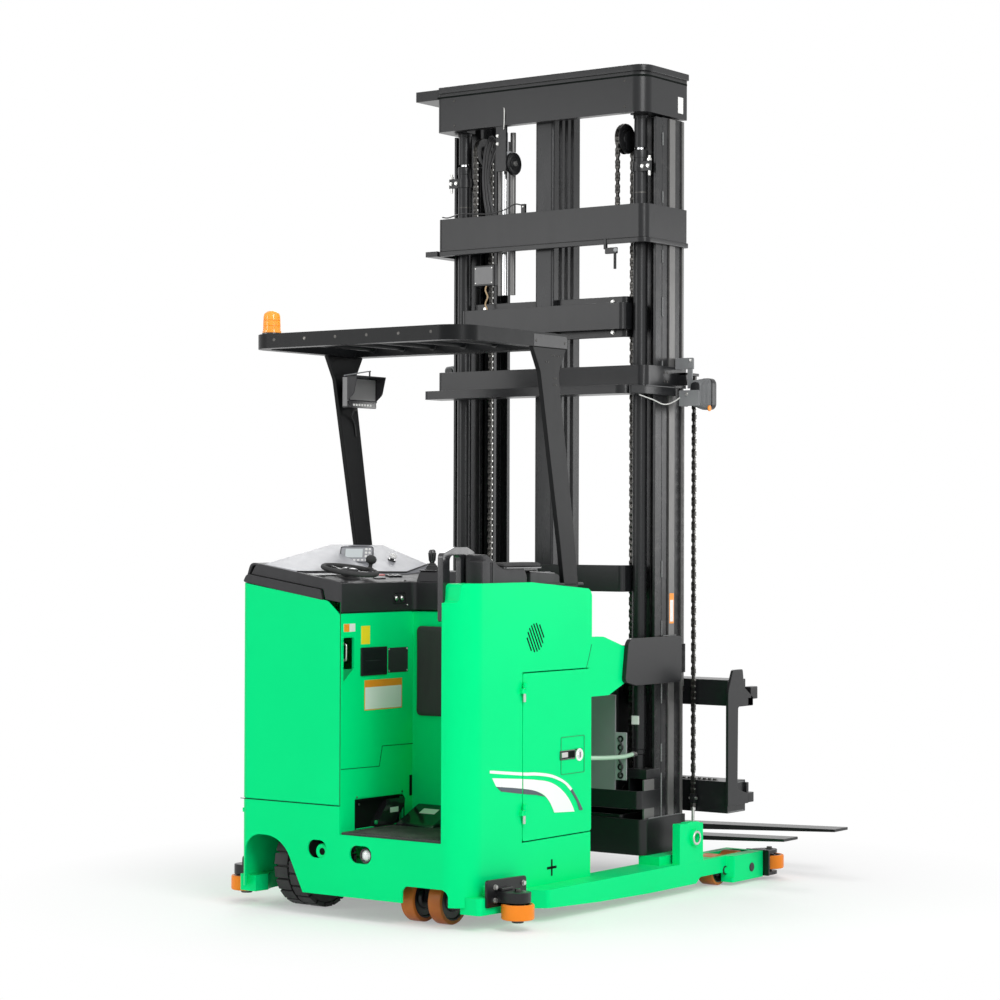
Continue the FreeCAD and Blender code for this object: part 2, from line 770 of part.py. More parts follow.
def make_cab_fittings():
    skin, wall = d.skin, d.wall
    keep(box("mat", (4, d.entry_depth - 4), (4 - d.entry_right, d.entry_left - 4),
             (d.floor_height, d.floor_height + 8)), "floor_mat")
    pedal_rear = d.entry_depth - 147
    keep(plate("pedal", "xz", (-170, 10),
               [(pedal_rear, d.floor_height + 8), (pedal_rear, d.floor_height + 22, 6),
                (d.entry_depth, d.floor_height + 87, 6), (d.entry_depth, d.floor_height + 8)]),
         "foot_pedal")
    keep(plate("knee", "yz", (d.entry_depth - 20, d.entry_depth),
               [(-395, 746, 20), (28, 746, 20), (28, 1122, 20), (-395, 1122, 20)]),
         "knee_pad")
    keep(plate("handle", "xz", (-d.entry_right, 25 - d.entry_right),
               [(6, 1150, 12), (6, 1404, 20), (83, 1430, 20), (159, 1430, 20),
                (205, 1411, 15), (216, 1290), (216, 1150, 12)],
               [(50, 1247, 12), (50, 1398, 20), (118, 1398, 20), (118, 1247, 12)]),
         "grab_handle")
    shroud = plate("shroud", "xz", (-536, -450),
                   [(134, d.panel_top), (134, 1401, 10), (204, 1376, 30), (248, 1350, 30),
                    (410, 1350, 12), (422, d.panel_top)])
    box_rear, box_front = d.entry_depth + wall, 655
    switch_box = plate(
        "switch_box", "xz", (d.rail_thick + 5 - half, -465),
        [(box_rear, d.deck_low), (box_rear, 1331, 8), (box_front, 1324, 8),
         (box_front, d.deck_low)])
    keep(group("side_boxes", shroud, switch_box), "side_console")
    keep(plate("pad", "xz", (-545, -452),
               [(262, 1350.3), (262, 1369, 8), (520, 1369, 8), (520, 1350.3)]), "armrest")
    raised = plate("raised", "xz", (-400, 40),
                   [(470, d.deck_low), (486, 1330, 8), (640, 1330, 8), (656, d.deck_low)])
    stick = rod("stick", "z", (520, 0), (1330, 1378), 6)
    knob = document.addObject("Part::Sphere", "stick_knob")
    bind(knob, "Radius", Size(15, "15"))
    place(knob, Size(520, "520"), Size(0, "0"), Size(1385, "1385"))
    keep(fuse("joystick_parts", raised, stick, knob), "joystick")
    keep(box("battery", (d.battery_rear, d.battery_rear + d.battery_length),
             (-d.battery_width, 0),
             (d.tray_height + wall, d.tray_height + wall + d.battery_height)),
         "battery_block")


def make_guard():
    low, high = d.guard_top - d.guard_band, d.guard_top
    side, long = d.guard_side, d.guard_length
    ring = plate(
        "guard_ring", "xy", (low, high),
        [(0, -side, d.guard_corner), (long, -side), (long, side), (0, side, d.guard_corner)],
        [(50, 50 - side, d.guard_corner - 50), (long - 78, 50 - side),
         (long - 78, side - 50), (50, side - 50, d.guard_corner - 50)])
    parts = [ring]
    posts = []
    for hand in (-1, 1):
        posts.append(plate(
            "guard_post_" + word(hand), "xz",
            band(side - d.moving_gap - d.post_thick, side - d.moving_gap, hand),
            [(708, d.hood_bottom + 10), (800, d.hood_bottom + 10), (766, 1436, 200),
             (646, 2110, 80), (long, low), (470, low), (522, 2110, 60),
             (661, 1436, 200)]))
    for index in range(6):
        spot = (index - 2.5) * d.slat_pitch
        parts.append(rod("guard_slat_%d" % (index + 1), "x", (spot, high - 25),
                         (40, long - 70), d.slat_radius))
    keep(fuse("guard", *parts), "overhead_guard")
    keep(group("posts", *posts), "guard_posts")
    base = rod("beacon_base", "z", (75, side - 65), (high, high + 22), 38)
    dome = rod("beacon_dome", "z", (75, side - 65), (high + 22, high + 100), 34)
    keep(fuse("beacon_parts", base, dome), "beacon")
    screen = box("screen", (505, 695), (420, 460), (1994, 2122))
    stay = box("screen_stay", (590, 625), (460, side - d.moving_gap - d.post_thick),
               (2040, 2080))
    keep(fuse("monitor_parts", screen, stay), "monitor")


def tilted(item, x, y, z, angle):
    """Leans a round piece to the right about the lengthwise axis."""
    item.Placement = Placement(Vector(), Rotation(Vector(1, 0, 0), angle))
    place(item, x, y, z)
    return item


def make_steering(deck_rise):
    lean = math.degrees(math.atan(number(deck_rise)))
    x, y = d.wheel_forward, d.wheel_side
    deck_here = d.deck_low + (y - d.entry_left) * deck_rise
    up_y, up_z = -math.sin(math.radians(lean)), math.cos(math.radians(lean))

    def along(size):
        return x, y + size * up_y, deck_here + size * up_z

    def tube(name, low, high, radius):
        item = document.addObject("Part::Cylinder", name)
        bind(item, "Radius", radius)
        bind(item, "Height", high - low)
        return tilted(item, *along(low), lean)

    lift = d.wheel_lift
    zero = Size(0, "0")
    boss = tube("column_boss", zero, lift - 13, Size(30, "30"))
    pin = tube("column_pin", zero, lift + 6, d.column_radius)
    keep(fuse("column", boss, pin), "steering_column")
    ring = document.addObject("Part::Torus", "wheel_ring")
    bind(ring, "Radius1", d.wheel_ring_radius)
    bind(ring, "Radius2", d.wheel_rim_radius)
    tilted(ring, *along(lift), lean)
    hub = tube("wheel_hub", lift - 8, lift + 10, Size(28, "28"))
    bore = tube("wheel_bore", lift - 9, lift + 6 + d.running_gap,
                d.column_radius + d.running_gap)
    spokes = []
    for index, angle in enumerate((90, 210, 330)):
        spoke = document.addObject("Part::Box", "wheel_spoke_%d" % (index + 1))
        bind(spoke, "Length", d.wheel_ring_radius)
        bind(spoke, "Width", Size(24, "24"))
        bind(spoke, "Height", Size(8, "8"))
        turn = Rotation(Vector(1, 0, 0), lean) * Rotation(Vector(0, 0, 1), angle)
        shift = turn.multVec(Vector(0, -12, 0))
        spoke.Placement = Placement(Vector(), turn)
        sx, sy, sz = along(lift - 4)
        place(spoke, sx + shift.x, sy + shift.y, sz + shift.z)
        spokes.append(spoke)
    turn = Rotation(Vector(1, 0, 0), lean) * Rotation(Vector(0, 0, 1), -8)
    out = turn.multVec(Vector(1, 0, 0))
    sx, sy, sz = along(lift)
    reach = d.wheel_ring_radius
    kx, ky, kz = sx + reach * out.x, sy + reach * out.y, sz + reach * out.z
    stem = document.addObject("Part::Cylinder", "spinner_stem")
    bind(stem, "Radius", Size(7, "7"))
    bind(stem, "Height", Size(32, "32"))
    tilted(stem, kx, ky, kz, lean)
    ball = document.addObject("Part::Sphere", "spinner_ball")
    bind(ball, "Radius", Size(19, "19"))
    place(ball, kx, ky + 44 * up_y, kz + 44 * up_z)
    keep(fuse("wheel_parts", cut("wheel_core", fuse("wheel_blank", ring, hub, *spokes), bore),
              stem, ball), "steering_wheel")


# ---------------------------------------------------------------- door and wheels

def make_door():
    leaf = plate("door_leaf", "xz", (-half, d.door_thick - half),
                 [(d.door_rear, d.door_bottom, 12), (d.door_rear, d.door_top, 12),
                  (d.door_front, d.door_top, 12), (d.door_front, d.door_bottom, 12)])
    hinge_y = -half - d.hinge_out
    parts = [leaf]
    bores = []
    for name, low in (("low", d.hinge_low), ("high", d.hinge_high)):
        start = low + d.knuckle_length + 1
        parts.append(box("door_ear_" + name, (d.hinge_forward, d.hinge_forward + 21),
                         (hinge_y - 3, -half), (start, start + d.knuckle_length)))
        parts.append(rod("door_knuckle_" + name, "z", (d.hinge_forward, hinge_y),
                         (start, start + d.knuckle_length), d.knuckle_radius))
        bores.append(rod("door_bore_" + name, "z", (d.hinge_forward, hinge_y),
                         (start - 1, start + d.knuckle_length + 1),
                         d.hinge_pin_radius + d.running_gap))
    slot = box("door_slot", (d.door_front - 118, d.door_front - 62),
               (-half - 1, 12 - half), (608, 636))
    keep(cut("door", fuse("door_blank", *parts), slot, *bores), "battery_door")


def make_drive():
    x, y = d.drive_forward, d.drive_side
    top = d.mount_height - d.moving_gap
    inner = y - d.drive_width / 2 - d.moving_gap
    disc = rod("turntable", "z", (x, y), (top - 20, top), Size(150, "150"))
    spindle = rod("drive_spindle", "z", (x, y), (top, d.mount_height + d.mount_thick + 5),
                  d.spindle_radius)
    motor = rod("drive_motor", "z", (x, y),
                (d.mount_height + d.mount_thick + 5, d.mount_height + d.mount_thick + 235),
                Size(95, "95"))
    gearbox = plate("gearbox", "xz", (inner - 60, inner),
                    [(x - 62, 62, 55), (x + 62, 62, 55), (x + 70, top - 20),
                     (x - 70, top - 20)])
    axle = rod("drive_axle", "y", (x, d.drive_radius),
               (inner, y + d.drive_width / 2 - 10), d.drive_axle_radius)
    keep(fuse("drive", disc, spindle, motor, gearbox, axle), "drive_unit")
    tyre = rod("drive_tyre", "y", (x, d.drive_radius),
               (y - d.drive_width / 2, y + d.drive_width / 2), d.drive_radius)
    bore = rod("drive_bore", "y", (x, d.drive_radius),
               (y - d.drive_width, y + d.drive_width / 2 - 10 + 5),
               d.drive_axle_radius + d.running_gap)
    dish = rod("drive_dish", "y", (x, d.drive_radius),
               (y + d.drive_width / 2 - 20 + 16, y + d.drive_width), Size(110, "110"))
    keep(cut("drive_rim", tyre, bore, dish), "drive_wheel")


def make_caster():
    x, y = d.caster_forward, d.caster_side
    swivel = x + d.caster_trail
    inside = d.caster_fork_width / 2
    disc = rod("caster_disc", "z", (swivel, y), (225, 257), Size(72, "72"))
    spindle = rod("caster_spindle", "z", (swivel, y), (257, 300), d.caster_spindle_radius)
    web = plate("caster_web", "xz", (y - inside, y + inside),
                [(x - 26, d.caster_radius - 10, 12), (x + 26, d.caster_radius - 26, 20),
                 (swivel + 60, 226), (swivel - 60, 226)])
    reach = inside + d.moving_gap + d.caster_width
    axle = rod("caster_axle", "y", (x, d.caster_radius),
               (y - reach + 4, y + reach - 4), d.caster_axle_radius)
    keep(fuse("caster", disc, spindle, web, axle), "caster_fork")
    wheels = []
    for side in (-1, 1):
        tag = word(side)
        near = y + side * (inside + d.moving_gap)
        far = y + side * reach
        low, high = (near, far) if side > 0 else (far, near)
        rim = rod("caster_rim_" + tag, "y", (x, d.caster_radius), (low, high),
                  d.caster_radius)
        bore = rod("caster_bore_" + tag, "y", (x, d.caster_radius), (low - 1, high + 1),
                   d.caster_axle_radius + d.running_gap)
        wheels.append(cut("caster_wheel_" + tag, rim, bore))
    keep(group("casters", *wheels), "caster_wheels")


def make_load_wheels():
    for side in (-1, 1):
        tag = word(side)
        for step, end in ((0, "rear"), (1, "front")):
            x = d.load_wheel_rear + step * d.load_wheel_step
            reach = band(d.load_wheel_side - d.load_wheel_width / 2,
                         d.load_wheel_side + d.load_wheel_width / 2, side)
            name = "load_%s_%s" % (end, tag)
            rim = rod(name + "_rim", "y", (x, d.load_wheel_radius), reach,
                      d.load_wheel_radius)
            bore = rod(name + "_bore", "y", (x, d.load_wheel_radius),
                       (reach[0] - 1, reach[1] + 1),
                       d.load_axle_radius + d.running_gap)
            keep(cut(name, rim, bore), "load_wheel_%s_%s" % (end, tag))


def make_guide_rollers():
    low, high = d.roller_bottom, d.roller_bottom + d.roller_height
    for side in (-1, 1):
        for end, x in (("rear", d.roller_rear), ("front", d.roller_front)):
            name = "guide_%s_%s" % (end, word(side))
            spot = (x, side * d.roller_side)
            rim = rod(name + "_rim", "z", spot, (low, high), d.roller_radius)
            bore = rod(name + "_bore", "z", spot, (low - 1, high + 1),
                       d.roller_pin_radius + d.running_gap)
            keep(cut(name, rim, bore), "guide_roller_%s_%s" % (end, word(side)))


# ---------------------------------------------------------------- mast

def channel(name, outer, ends, reach, side):
    """A mast rail: a channel with its web outside and flanges inwards."""
    rear, front = ends
    inner = outer - d.rail_width
    web = outer - d.rail_web
    return plate(name, "xy", reach, across(
        [(rear, inner), (rear, outer), (front, outer), (front, inner),
         (front - d.rail_flange, inner), (front - d.rail_flange, web),
         (rear + d.rail_flange, web), (rear + d.rail_flange, inner)], side))


def pad_reach(ends):
    """Where a slide pad lies between a rail's two flanges."""
    return (ends[0] + d.rail_flange + d.moving_gap,
            ends[1] - d.rail_flange - d.moving_gap)


def wrap(name, low, high, closed=False):
    """A band round the rear and sides of the outer mast."""
    out = d.outer_rail_side + d.band_thick
    rear = d.rail_rear - d.band_thick
    front = d.rail_front + d.band_thick
    if closed:
        return plate(name, "xy", (low, high),
                     [(rear, -out, 36), (front, -out), (front, out), (rear, out, 24)],
                     [(d.rail_rear, -d.outer_rail_side), (d.rail_front, -d.outer_rail_side),
                      (d.rail_front, d.outer_rail_side), (d.rail_rear, d.outer_rail_side)])
    return plate(name, "xy", (low, high),
                 [(rear, -out, 36), (front, -out), (front, -d.outer_rail_side),
                  (d.rail_rear, -d.outer_rail_side), (d.rail_rear, d.outer_rail_side),
                  (front, d.outer_rail_side), (front, out), (rear, out, 24)])


def bridge(name, rear, front, out, reach):
    """A bent cross plate whose two ends run forward to the rails."""
    inside = out - d.band_thick
    back = rear + d.band_thick
    return plate(name, "xy", reach,
                 [(rear, -out, 24), (front, -out), (front, -inside), (back, -inside, 12),
                  (back, inside, 12), (front, inside), (front, out), (rear, out, 24)])


def make_outer_mast():
    out = d.outer_rail_side
    rails = group("outer_rails", *[
        channel("outer_rail_" + word(side), out, outer_ends,
                (d.mast_foot, d.outer_mast_top), side)
        for side in (-1, 1)])
    keep(rails, "outer_mast")
    floor = box("base_floor", (d.rail_rear, d.rail_front), (-out, out),
                (d.mast_foot, d.mast_foot + d.band_thick))
    parts = [fuse("base", wrap("base_band", d.mast_foot, 307, closed=True),
                  cut("base_plate", floor, rails))]
    parts.append(bridge("low_cross", d.rail_rear - 24, d.channel_rear, out,
                        (Size(350, "350"), Size(424, "424"))))
    shelf = plate("third_shelf", "xy", (Size(2054, "2054"), Size(2090, "2090")),
                  [(d.rail_rear - 127, -out, 60), (d.rail_rear, -out),
                   (d.rail_rear, out), (d.rail_rear - 127, out, 24)])
    third = fuse("third", wrap("third_band", Size(2090, "2090"), 2176), shelf)
    ledge = box("second_shelf", (d.rail_rear - 30, d.rail_front),
                (d.outer_rail_side, d.outer_rail_side + 64), (2680, 2703))
    second = fuse("second", wrap("second_band", Size(2703, "2703"), 2842), ledge)
    keep(group("outer_bands", *(parts + [third, second])), "outer_mast_bands")
    ties = [plate("tie_" + word(side), "xz",
                  band(out + d.band_thick, out + d.band_thick + 20, side),
                  [(d.rail_rear - 180, 880, 20), (d.rail_rear - 100, 863, 10),
                   (1511, 863, 20), (1511, 1056, 20), (d.rail_rear - 155, 1056, 40)])
            for side in (-1, 1)]
    bands = [wrap("tie_band", Size(900, "900"), 1020)]
    keep(fuse("ties", *(ties + bands)), "mast_tie")


def make_cylinders():
    tubes, rods = [], []
    x = d.lift_cylinder_forward
    foot, top = d.lift_cylinder_foot, d.lift_cylinder_top
    for side in (-1, 1):
        tag = word(side)
        y = side * d.lift_cylinder_side
        outside = rod("cylinder_tube_" + tag, "z", (x, y), (foot, top),
                      d.lift_cylinder_radius)
        inside = rod("cylinder_bore_" + tag, "z", (x, y), (foot + 50, top + 1),
                     d.lift_rod_radius + d.running_gap)
        seat = box("cylinder_seat_" + tag, (x - 50, d.channel_rear),
                   band(d.lift_cylinder_side - d.lift_cylinder_radius, d.outer_rail_side,
                        side),
                   (foot - 40, foot))
        tubes.append(fuse("cylinder_" + tag, cut("cylinder_body_" + tag, outside, inside),
                          seat))
        rods.append(rod("lift_rod_" + tag, "z", (x, y), (foot + 55, d.outer_mast_top + d.moving_gap),
                        d.lift_rod_radius))
    keep(group("cylinders", *tubes), "lift_cylinders")
    keep(group("rods", *rods), "lift_rods")


def make_lamps():
    lamps = []
    out = d.outer_rail_side + d.band_thick
    for side, low in ((-1, 1990), (1, 2090)):
        tag = word(side)
        stay = box("lamp_stay_" + tag, (1480, 1560), band(out, out + 70, side),
                   (2100, 2112))
        can = plate("lamp_can_" + tag, "xz", band(out + 70, out + 136, side),
                    [(1450, low + 20, 15), (1598, low, 15), (1598, low + 150, 15),
                     (1450, low + 130, 15)])
        lamps.append(fuse("lamp_" + tag, stay, can))
    keep(group("lamps", *lamps), "spot_lamps")


def make_middle_mast():
    out = d.outer_rail_side - d.rail_width - d.rail_gap
    wide = d.outer_rail_side + d.band_thick
    under = d.outer_mast_top + d.moving_gap
    top_low = under
    rails = group("middle_rails", *[
        channel("middle_rail_" + word(side), out, middle_ends,
                (d.stage_foot, d.mast_top - 44), side)
        for side in (-1, 1)])
    rear = d.rail_rear + d.moving_gap
    reach = d.lift_cylinder_side - d.lift_cylinder_radius - d.moving_gap
    crosses = [bridge("middle_cross_%d" % (index + 1), rear,
                      middle_ends[0] + d.rail_flange, reach, (low, low + 110))
               for index, low in enumerate((d.stage_foot + 10, Size(1240, "1240"),
                                            Size(2330, "2330")))]
    parts = []
    parts.append(plate(
        "middle_band", "xy", (top_low, d.mast_top - 44),
        [(d.rail_rear - 22, -wide, 60), (d.rail_front + d.band_thick, -wide),
         (d.rail_front + d.band_thick, -out), (rear + d.band_thick, -out),
         (rear + d.band_thick, out), (d.rail_front + d.band_thick, out),
         (d.rail_front + d.band_thick, wide), (d.rail_rear - 22, wide, 24)]))
    parts.append(plate(
        "middle_top", "xy", (d.mast_top - 44, d.mast_top),
        [(d.rail_rear - 22, -wide, 60), (d.rail_front + d.band_thick, -wide),
         (d.rail_front + d.band_thick, -out), (rear + d.band_thick, -out),
         (rear + d.band_thick, out), (d.rail_front + d.band_thick, out),
         (d.rail_front + d.band_thick, wide + 140), (d.rail_rear + 12, wide + 140),
         (d.rail_rear + 12, wide), (d.rail_rear - 22, wide, 24)]))
    for side in (-1, 1):
        parts.append(box("rod_eye_" + word(side),
                         (d.lift_cylinder_forward - 30, d.lift_cylinder_forward + 30),
                         band(d.lift_cylinder_side - 32, d.lift_cylinder_side + 32, side),
                         (under, under + 35)))
    web = d.outer_rail_side - d.rail_web
    pads = [box("middle_pad_" + word(side), pad_reach(outer_ends),
                band(out, web - d.pad_gap, side),
                (d.stage_foot + 10, d.stage_foot + 130))
            for side in (-1, 1)]
    keep(fuse("middle", rails, *pads), "middle_mast")
    keep(cut("middle_frame",
             fuse("middle_blank", *(parts + crosses)), rails), "middle_mast_head")


def make_inner_mast():
    step = d.rail_width + d.rail_gap
    out = d.outer_rail_side - 2 * step
    low, high = d.stage_foot + d.moving_gap, d.inner_mast_top
    rails = group("inner_rails", *[
        channel("inner_rail_" + word(side), out, inner_ends, (low, high), side)
        for side in (-1, 1)])
    parts = []
    rear = d.column_rear
    front = d.column_rear + d.column_length
    reach = d.lift_cylinder_side - d.lift_cylinder_radius - 25
    parts.append(box("inner_foot", (inner_ends[0], front), (-out, out), (low, low + 30)))
    parts.append(box("inner_heel", (rear - 4, front), (-reach, reach), (low, low + 30)))
    parts.append(plate("inner_column", "xy", (low, high),
                       [(rear, -d.column_half, 20), (front, -d.column_half, 20),
                        (front, d.column_half, 20), (rear, d.column_half, 20)]))
    parts.append(bridge("inner_beam", rear + 35, inner_ends[0], reach,
                        (Size(2300, "2300"), Size(2470, "2470"))))
    parts.append(bridge("inner_top", rear + 35, inner_ends[0], reach,
                        (high - 150, high - 20)))
    parts.append(box("inner_front", (inner_ends[1] - 15, inner_ends[1]), (-out, out),
                     (high - 75, high)))
    middle_web = d.outer_rail_side - step - d.rail_web
    pads = [box("inner_pad_" + word(side), pad_reach(middle_ends),
                band(out, middle_web - d.pad_gap, side), (low, low + 120))
            for side in (-1, 1)]
    keep(fuse("inner", rails, *pads), "inner_mast")
    keep(cut("inner_frame", fuse("inner_blank", *parts), rails), "inner_mast_column")


def make_carriage():
    inner_web = d.outer_rail_side - 2 * (d.rail_width + d.rail_gap) - d.rail_web
    outer = d.carriage_plate_side
    low = d.carriage_bottom
    rear, front = d.cross_rail_rear, d.cross_rail_rear + d.cross_rail_depth
    upper_low = d.upper_rail_bottom
    upper_high = upper_low + d.upper_rail_height
    parts, ends = [], []
    for side in (-1, 1):
        tag = word(side)
        parts.append(plate(
            "carriage_side_" + tag, "xz",
            band(outer - d.carriage_plate_thick, outer, side),
            [(1372, low + 15, 20), (rear, low + 15), (rear, upper_high),
             (1372, upper_high, 20)]))
        for name, start in (("low", low + 25), ("high", upper_low)):
            parts.append(box("carriage_pad_%s_%s" % (name, tag),
                             pad_reach(inner_ends),
                             band(outer, inner_web - d.pad_gap, side),
                             (start, start + 95)))
        ends.append(plate(
            "end_plate_" + tag, "xz",
            band(d.cross_rail_half, d.cross_rail_half + d.end_plate_thick, side),
            [(rear - 16, low, 12), (front - 24, low, 12), (front - 24, 540, 60),
             (front + 84, 760, 30), (front + 84, d.end_plate_top - 40, 20),
             (front - 30, d.end_plate_top, 20), (rear + 40, d.end_plate_top, 20),
             (rear - 16, upper_low, 40)]))
    parts.append(box("lower_cross_rail", (rear, front),
                     (-d.cross_rail_half, d.cross_rail_half),
                     (low, low + d.lower_rail_height)))
    parts.append(box("upper_cross_rail", (rear, front),
                     (-d.cross_rail_half, d.cross_rail_half), (upper_low, upper_high)))
    parts.append(box("carriage_back", (rear - 24, rear),
                     (d.carriage_plate_thick - outer, outer - d.carriage_plate_thick),
                     (low + 15, low + 105)))
    parts.append(box("carriage_back_high", (rear - 24, rear),
                     (d.carriage_plate_thick - outer, outer - d.carriage_plate_thick),
                     (upper_low, upper_high)))
    keep(fuse("carriage", *parts), "lift_carriage")
    keep(group("rail_ends", *ends), "rail_end_plates")


def make_turret():
    x, y = pivot_x, pivot_y
    rail_front = d.cross_rail_rear + d.cross_rail_depth
    plate_front = d.slider_plate_rear + d.slider_plate_thick
    upper_low = d.upper_rail_bottom
    upper_high = upper_low + d.upper_rail_height
    arm_top = d.upper_arm_bottom + d.arm_thick
    back = box("slider_back", (d.slider_plate_rear, plate_front),
               (y - d.slider_half, y + d.slider_half), (d.lower_arm_bottom, arm_top))
    pads = [box("slider_pad_low", (rail_front + d.pad_gap, d.slider_plate_rear),
                (y - d.slider_half, y + d.slider_half),
                (d.carriage_bottom + 10, d.carriage_bottom + d.lower_rail_height - 10)),
            box("slider_pad_high", (rail_front + d.pad_gap, d.slider_plate_rear),
                (y - d.slider_half, y + d.slider_half), (upper_low + 10, upper_high - 10)),
            box("slider_hook", (d.cross_rail_rear + 40, d.slider_plate_rear),
                (y - d.slider_half, y + d.slider_half), (upper_high + d.pad_gap, arm_top))]
    arms = []
    bores = []
    for name, low in (("lower", d.lower_arm_bottom), ("upper", d.upper_arm_bottom)):
        arms.append(plate(
            "arm_" + name, "xy", (low, low + d.arm_thick),
            [(plate_front, y - d.arm_half), (x + d.arm_half, y - d.arm_half, 70),
             (x + d.arm_half, y + d.arm_half, 70), (plate_front, y + d.arm_half)]))
        bores.append(rod("arm_bore_" + name, "z", (x, y), (low - 1, low + d.arm_thick + 1),
                         d.pivot_pin_radius + d.running_gap))
    keep(cut("slider", fuse("slider_blank", back, *(pads + arms)), *bores),
         "traverse_slider")

    drum_low = d.lower_arm_bottom + d.arm_thick + d.moving_gap
    drum_high = d.upper_arm_bottom - d.moving_gap
    bar_front = y - d.fork_bar_reach
    bar_rear = bar_front + d.fork_bar_thick
    drum = rod("drum", "z", (x, y), (drum_low, drum_high), d.drum_radius)
    pin = rod("pivot_pin", "z", (x, y), (d.lower_arm_bottom + 5, arm_top - 5),
              d.pivot_pin_radius)
    neck = box("drum_neck", (x - 75, x + 75), (bar_rear, y), (drum_low + 20, 735))
    keep(fuse("head", drum, pin, neck), "turret_head")
    reach = d.fork_spread / 2 + d.fork_width / 2
    bars = [box("fork_bar_low", (x - reach, x + reach), (bar_front, bar_rear), (205, 305)),
            box("fork_bar_high", (x - reach, x + reach), (bar_front, bar_rear), (625, 725))]
    bars.append(box("fork_bar_web", (x - 75, x + 75), (bar_front, bar_rear), (305, 625)))
    keep(fuse("fork_frame", *bars), "fork_carriage")
    tip = bar_front - d.fork_length
    for name, side in (("rear", -1), ("front", 1)):
        middle = x + side * d.fork_spread / 2
        fork = plate(
            "fork_blade_" + name, "yz",
            (middle - d.fork_width / 2, middle + d.fork_width / 2),
            [(bar_front, d.fork_bottom, 24), (bar_front, d.fork_shank_top),
             (bar_front - d.fork_thick, d.fork_shank_top),
             (bar_front - d.fork_thick, d.fork_bottom + d.fork_thick, 30),
             (tip, d.fork_bottom + d.fork_thick + d.fork_tip_rise),
             (tip, d.fork_bottom + d.fork_thick + d.fork_tip_rise - d.fork_tip_thick)])
        keep(fork, "fork_" + name)


def check_and_write():
    document.recompute()
    for item in document.Objects:
        if "Invalid" in item.State or "Error" in item.State:
            raise RuntimeError("%s failed: %s" % (item.Name, item.State))
    os.makedirs("parts", exist_ok=True)
    for item in pieces:
        if item.Shape.isNull() or not item.Shape.isValid() or not item.Shape.Solids:
            raise RuntimeError("%s has no sound shape" % item.Label)
    for item in pieces:
        item.Shape.exportStep("parts/%s.step" % item.Label)
        print("%-24s %2d solids %9.1f cm3" % (item.Label, len(item.Shape.Solids),
                                              item.Shape.Volume / 1000))


make_chassis()
make_legs()
make_roller_brackets()
slope = make_panels()
make_cab_fittings()
make_guard()
make_steering(slope)
make_door()
make_drive()
make_caster()
make_load_wheels()
make_guide_rollers()
make_outer_mast()
make_cylinders()
make_lamps()
make_middle_mast()
make_inner_mast()
make_carriage()
make_turret()
check_and_write()
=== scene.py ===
"""Turret truck: the visible pieces, their finishes, and the stage they stand on."""

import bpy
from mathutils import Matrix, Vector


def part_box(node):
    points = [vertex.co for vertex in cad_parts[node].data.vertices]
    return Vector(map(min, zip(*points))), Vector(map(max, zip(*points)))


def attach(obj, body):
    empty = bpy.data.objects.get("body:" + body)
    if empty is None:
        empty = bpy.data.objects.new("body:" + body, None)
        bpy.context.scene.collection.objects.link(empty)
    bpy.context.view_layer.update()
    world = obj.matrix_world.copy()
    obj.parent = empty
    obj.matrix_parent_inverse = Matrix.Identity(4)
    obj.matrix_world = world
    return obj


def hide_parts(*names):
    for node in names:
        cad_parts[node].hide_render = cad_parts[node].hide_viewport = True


bl_info = {
    "name": "Turret truck",
    "version": (1, 0, 0),
    "blender": (4, 5, 0),
    "location": "3D View > Sidebar > Turret truck",
    "description": "Builds the visible pieces of a narrow-aisle turret truck",
    "category": "Object",
}

from math import atan, atan2, cos, pi, radians, sin, sqrt, tau

import bmesh
import bpy
from bpy.props import FloatProperty, FloatVectorProperty, IntProperty, PointerProperty
from mathutils import Matrix, Vector

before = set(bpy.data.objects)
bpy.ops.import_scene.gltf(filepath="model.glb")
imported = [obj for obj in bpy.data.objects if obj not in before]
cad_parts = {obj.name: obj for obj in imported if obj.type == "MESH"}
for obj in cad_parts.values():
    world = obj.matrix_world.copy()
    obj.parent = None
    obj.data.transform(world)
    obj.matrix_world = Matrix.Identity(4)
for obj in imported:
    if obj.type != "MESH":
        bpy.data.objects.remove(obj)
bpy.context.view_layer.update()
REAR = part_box("chassis_frame")[0].x
MIDDLE = (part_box("straddle_leg_right")[0].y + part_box("straddle_leg_left")[1].y) / 2

# the finishes that many pieces use
# the near-black gap finish is painted shade: thin sheets of it stand for the shade in seams, slots,
# holes and grooves
BLACK, HOOD, GLOSS, GAP_SHADOW = "black_paint", "hood_plastic", "gloss_plastic", "painted_gap_shadow"
CHAIN, ZINC, RAIL, WELD, FOAM = "chain_steel", "zinc_plate", "rail_black", "weld_grey", "soft_foam"


# settings

def colour_setting(name, value, about):
    return FloatVectorProperty(name=name, description=about, default=value, size=3, min=0.0,
        max=1.0, subtype="COLOR")


def number_setting(name, value, about, low=0.0, **more):
    return FloatProperty(name=name, description=about, default=value, min=low, **more)


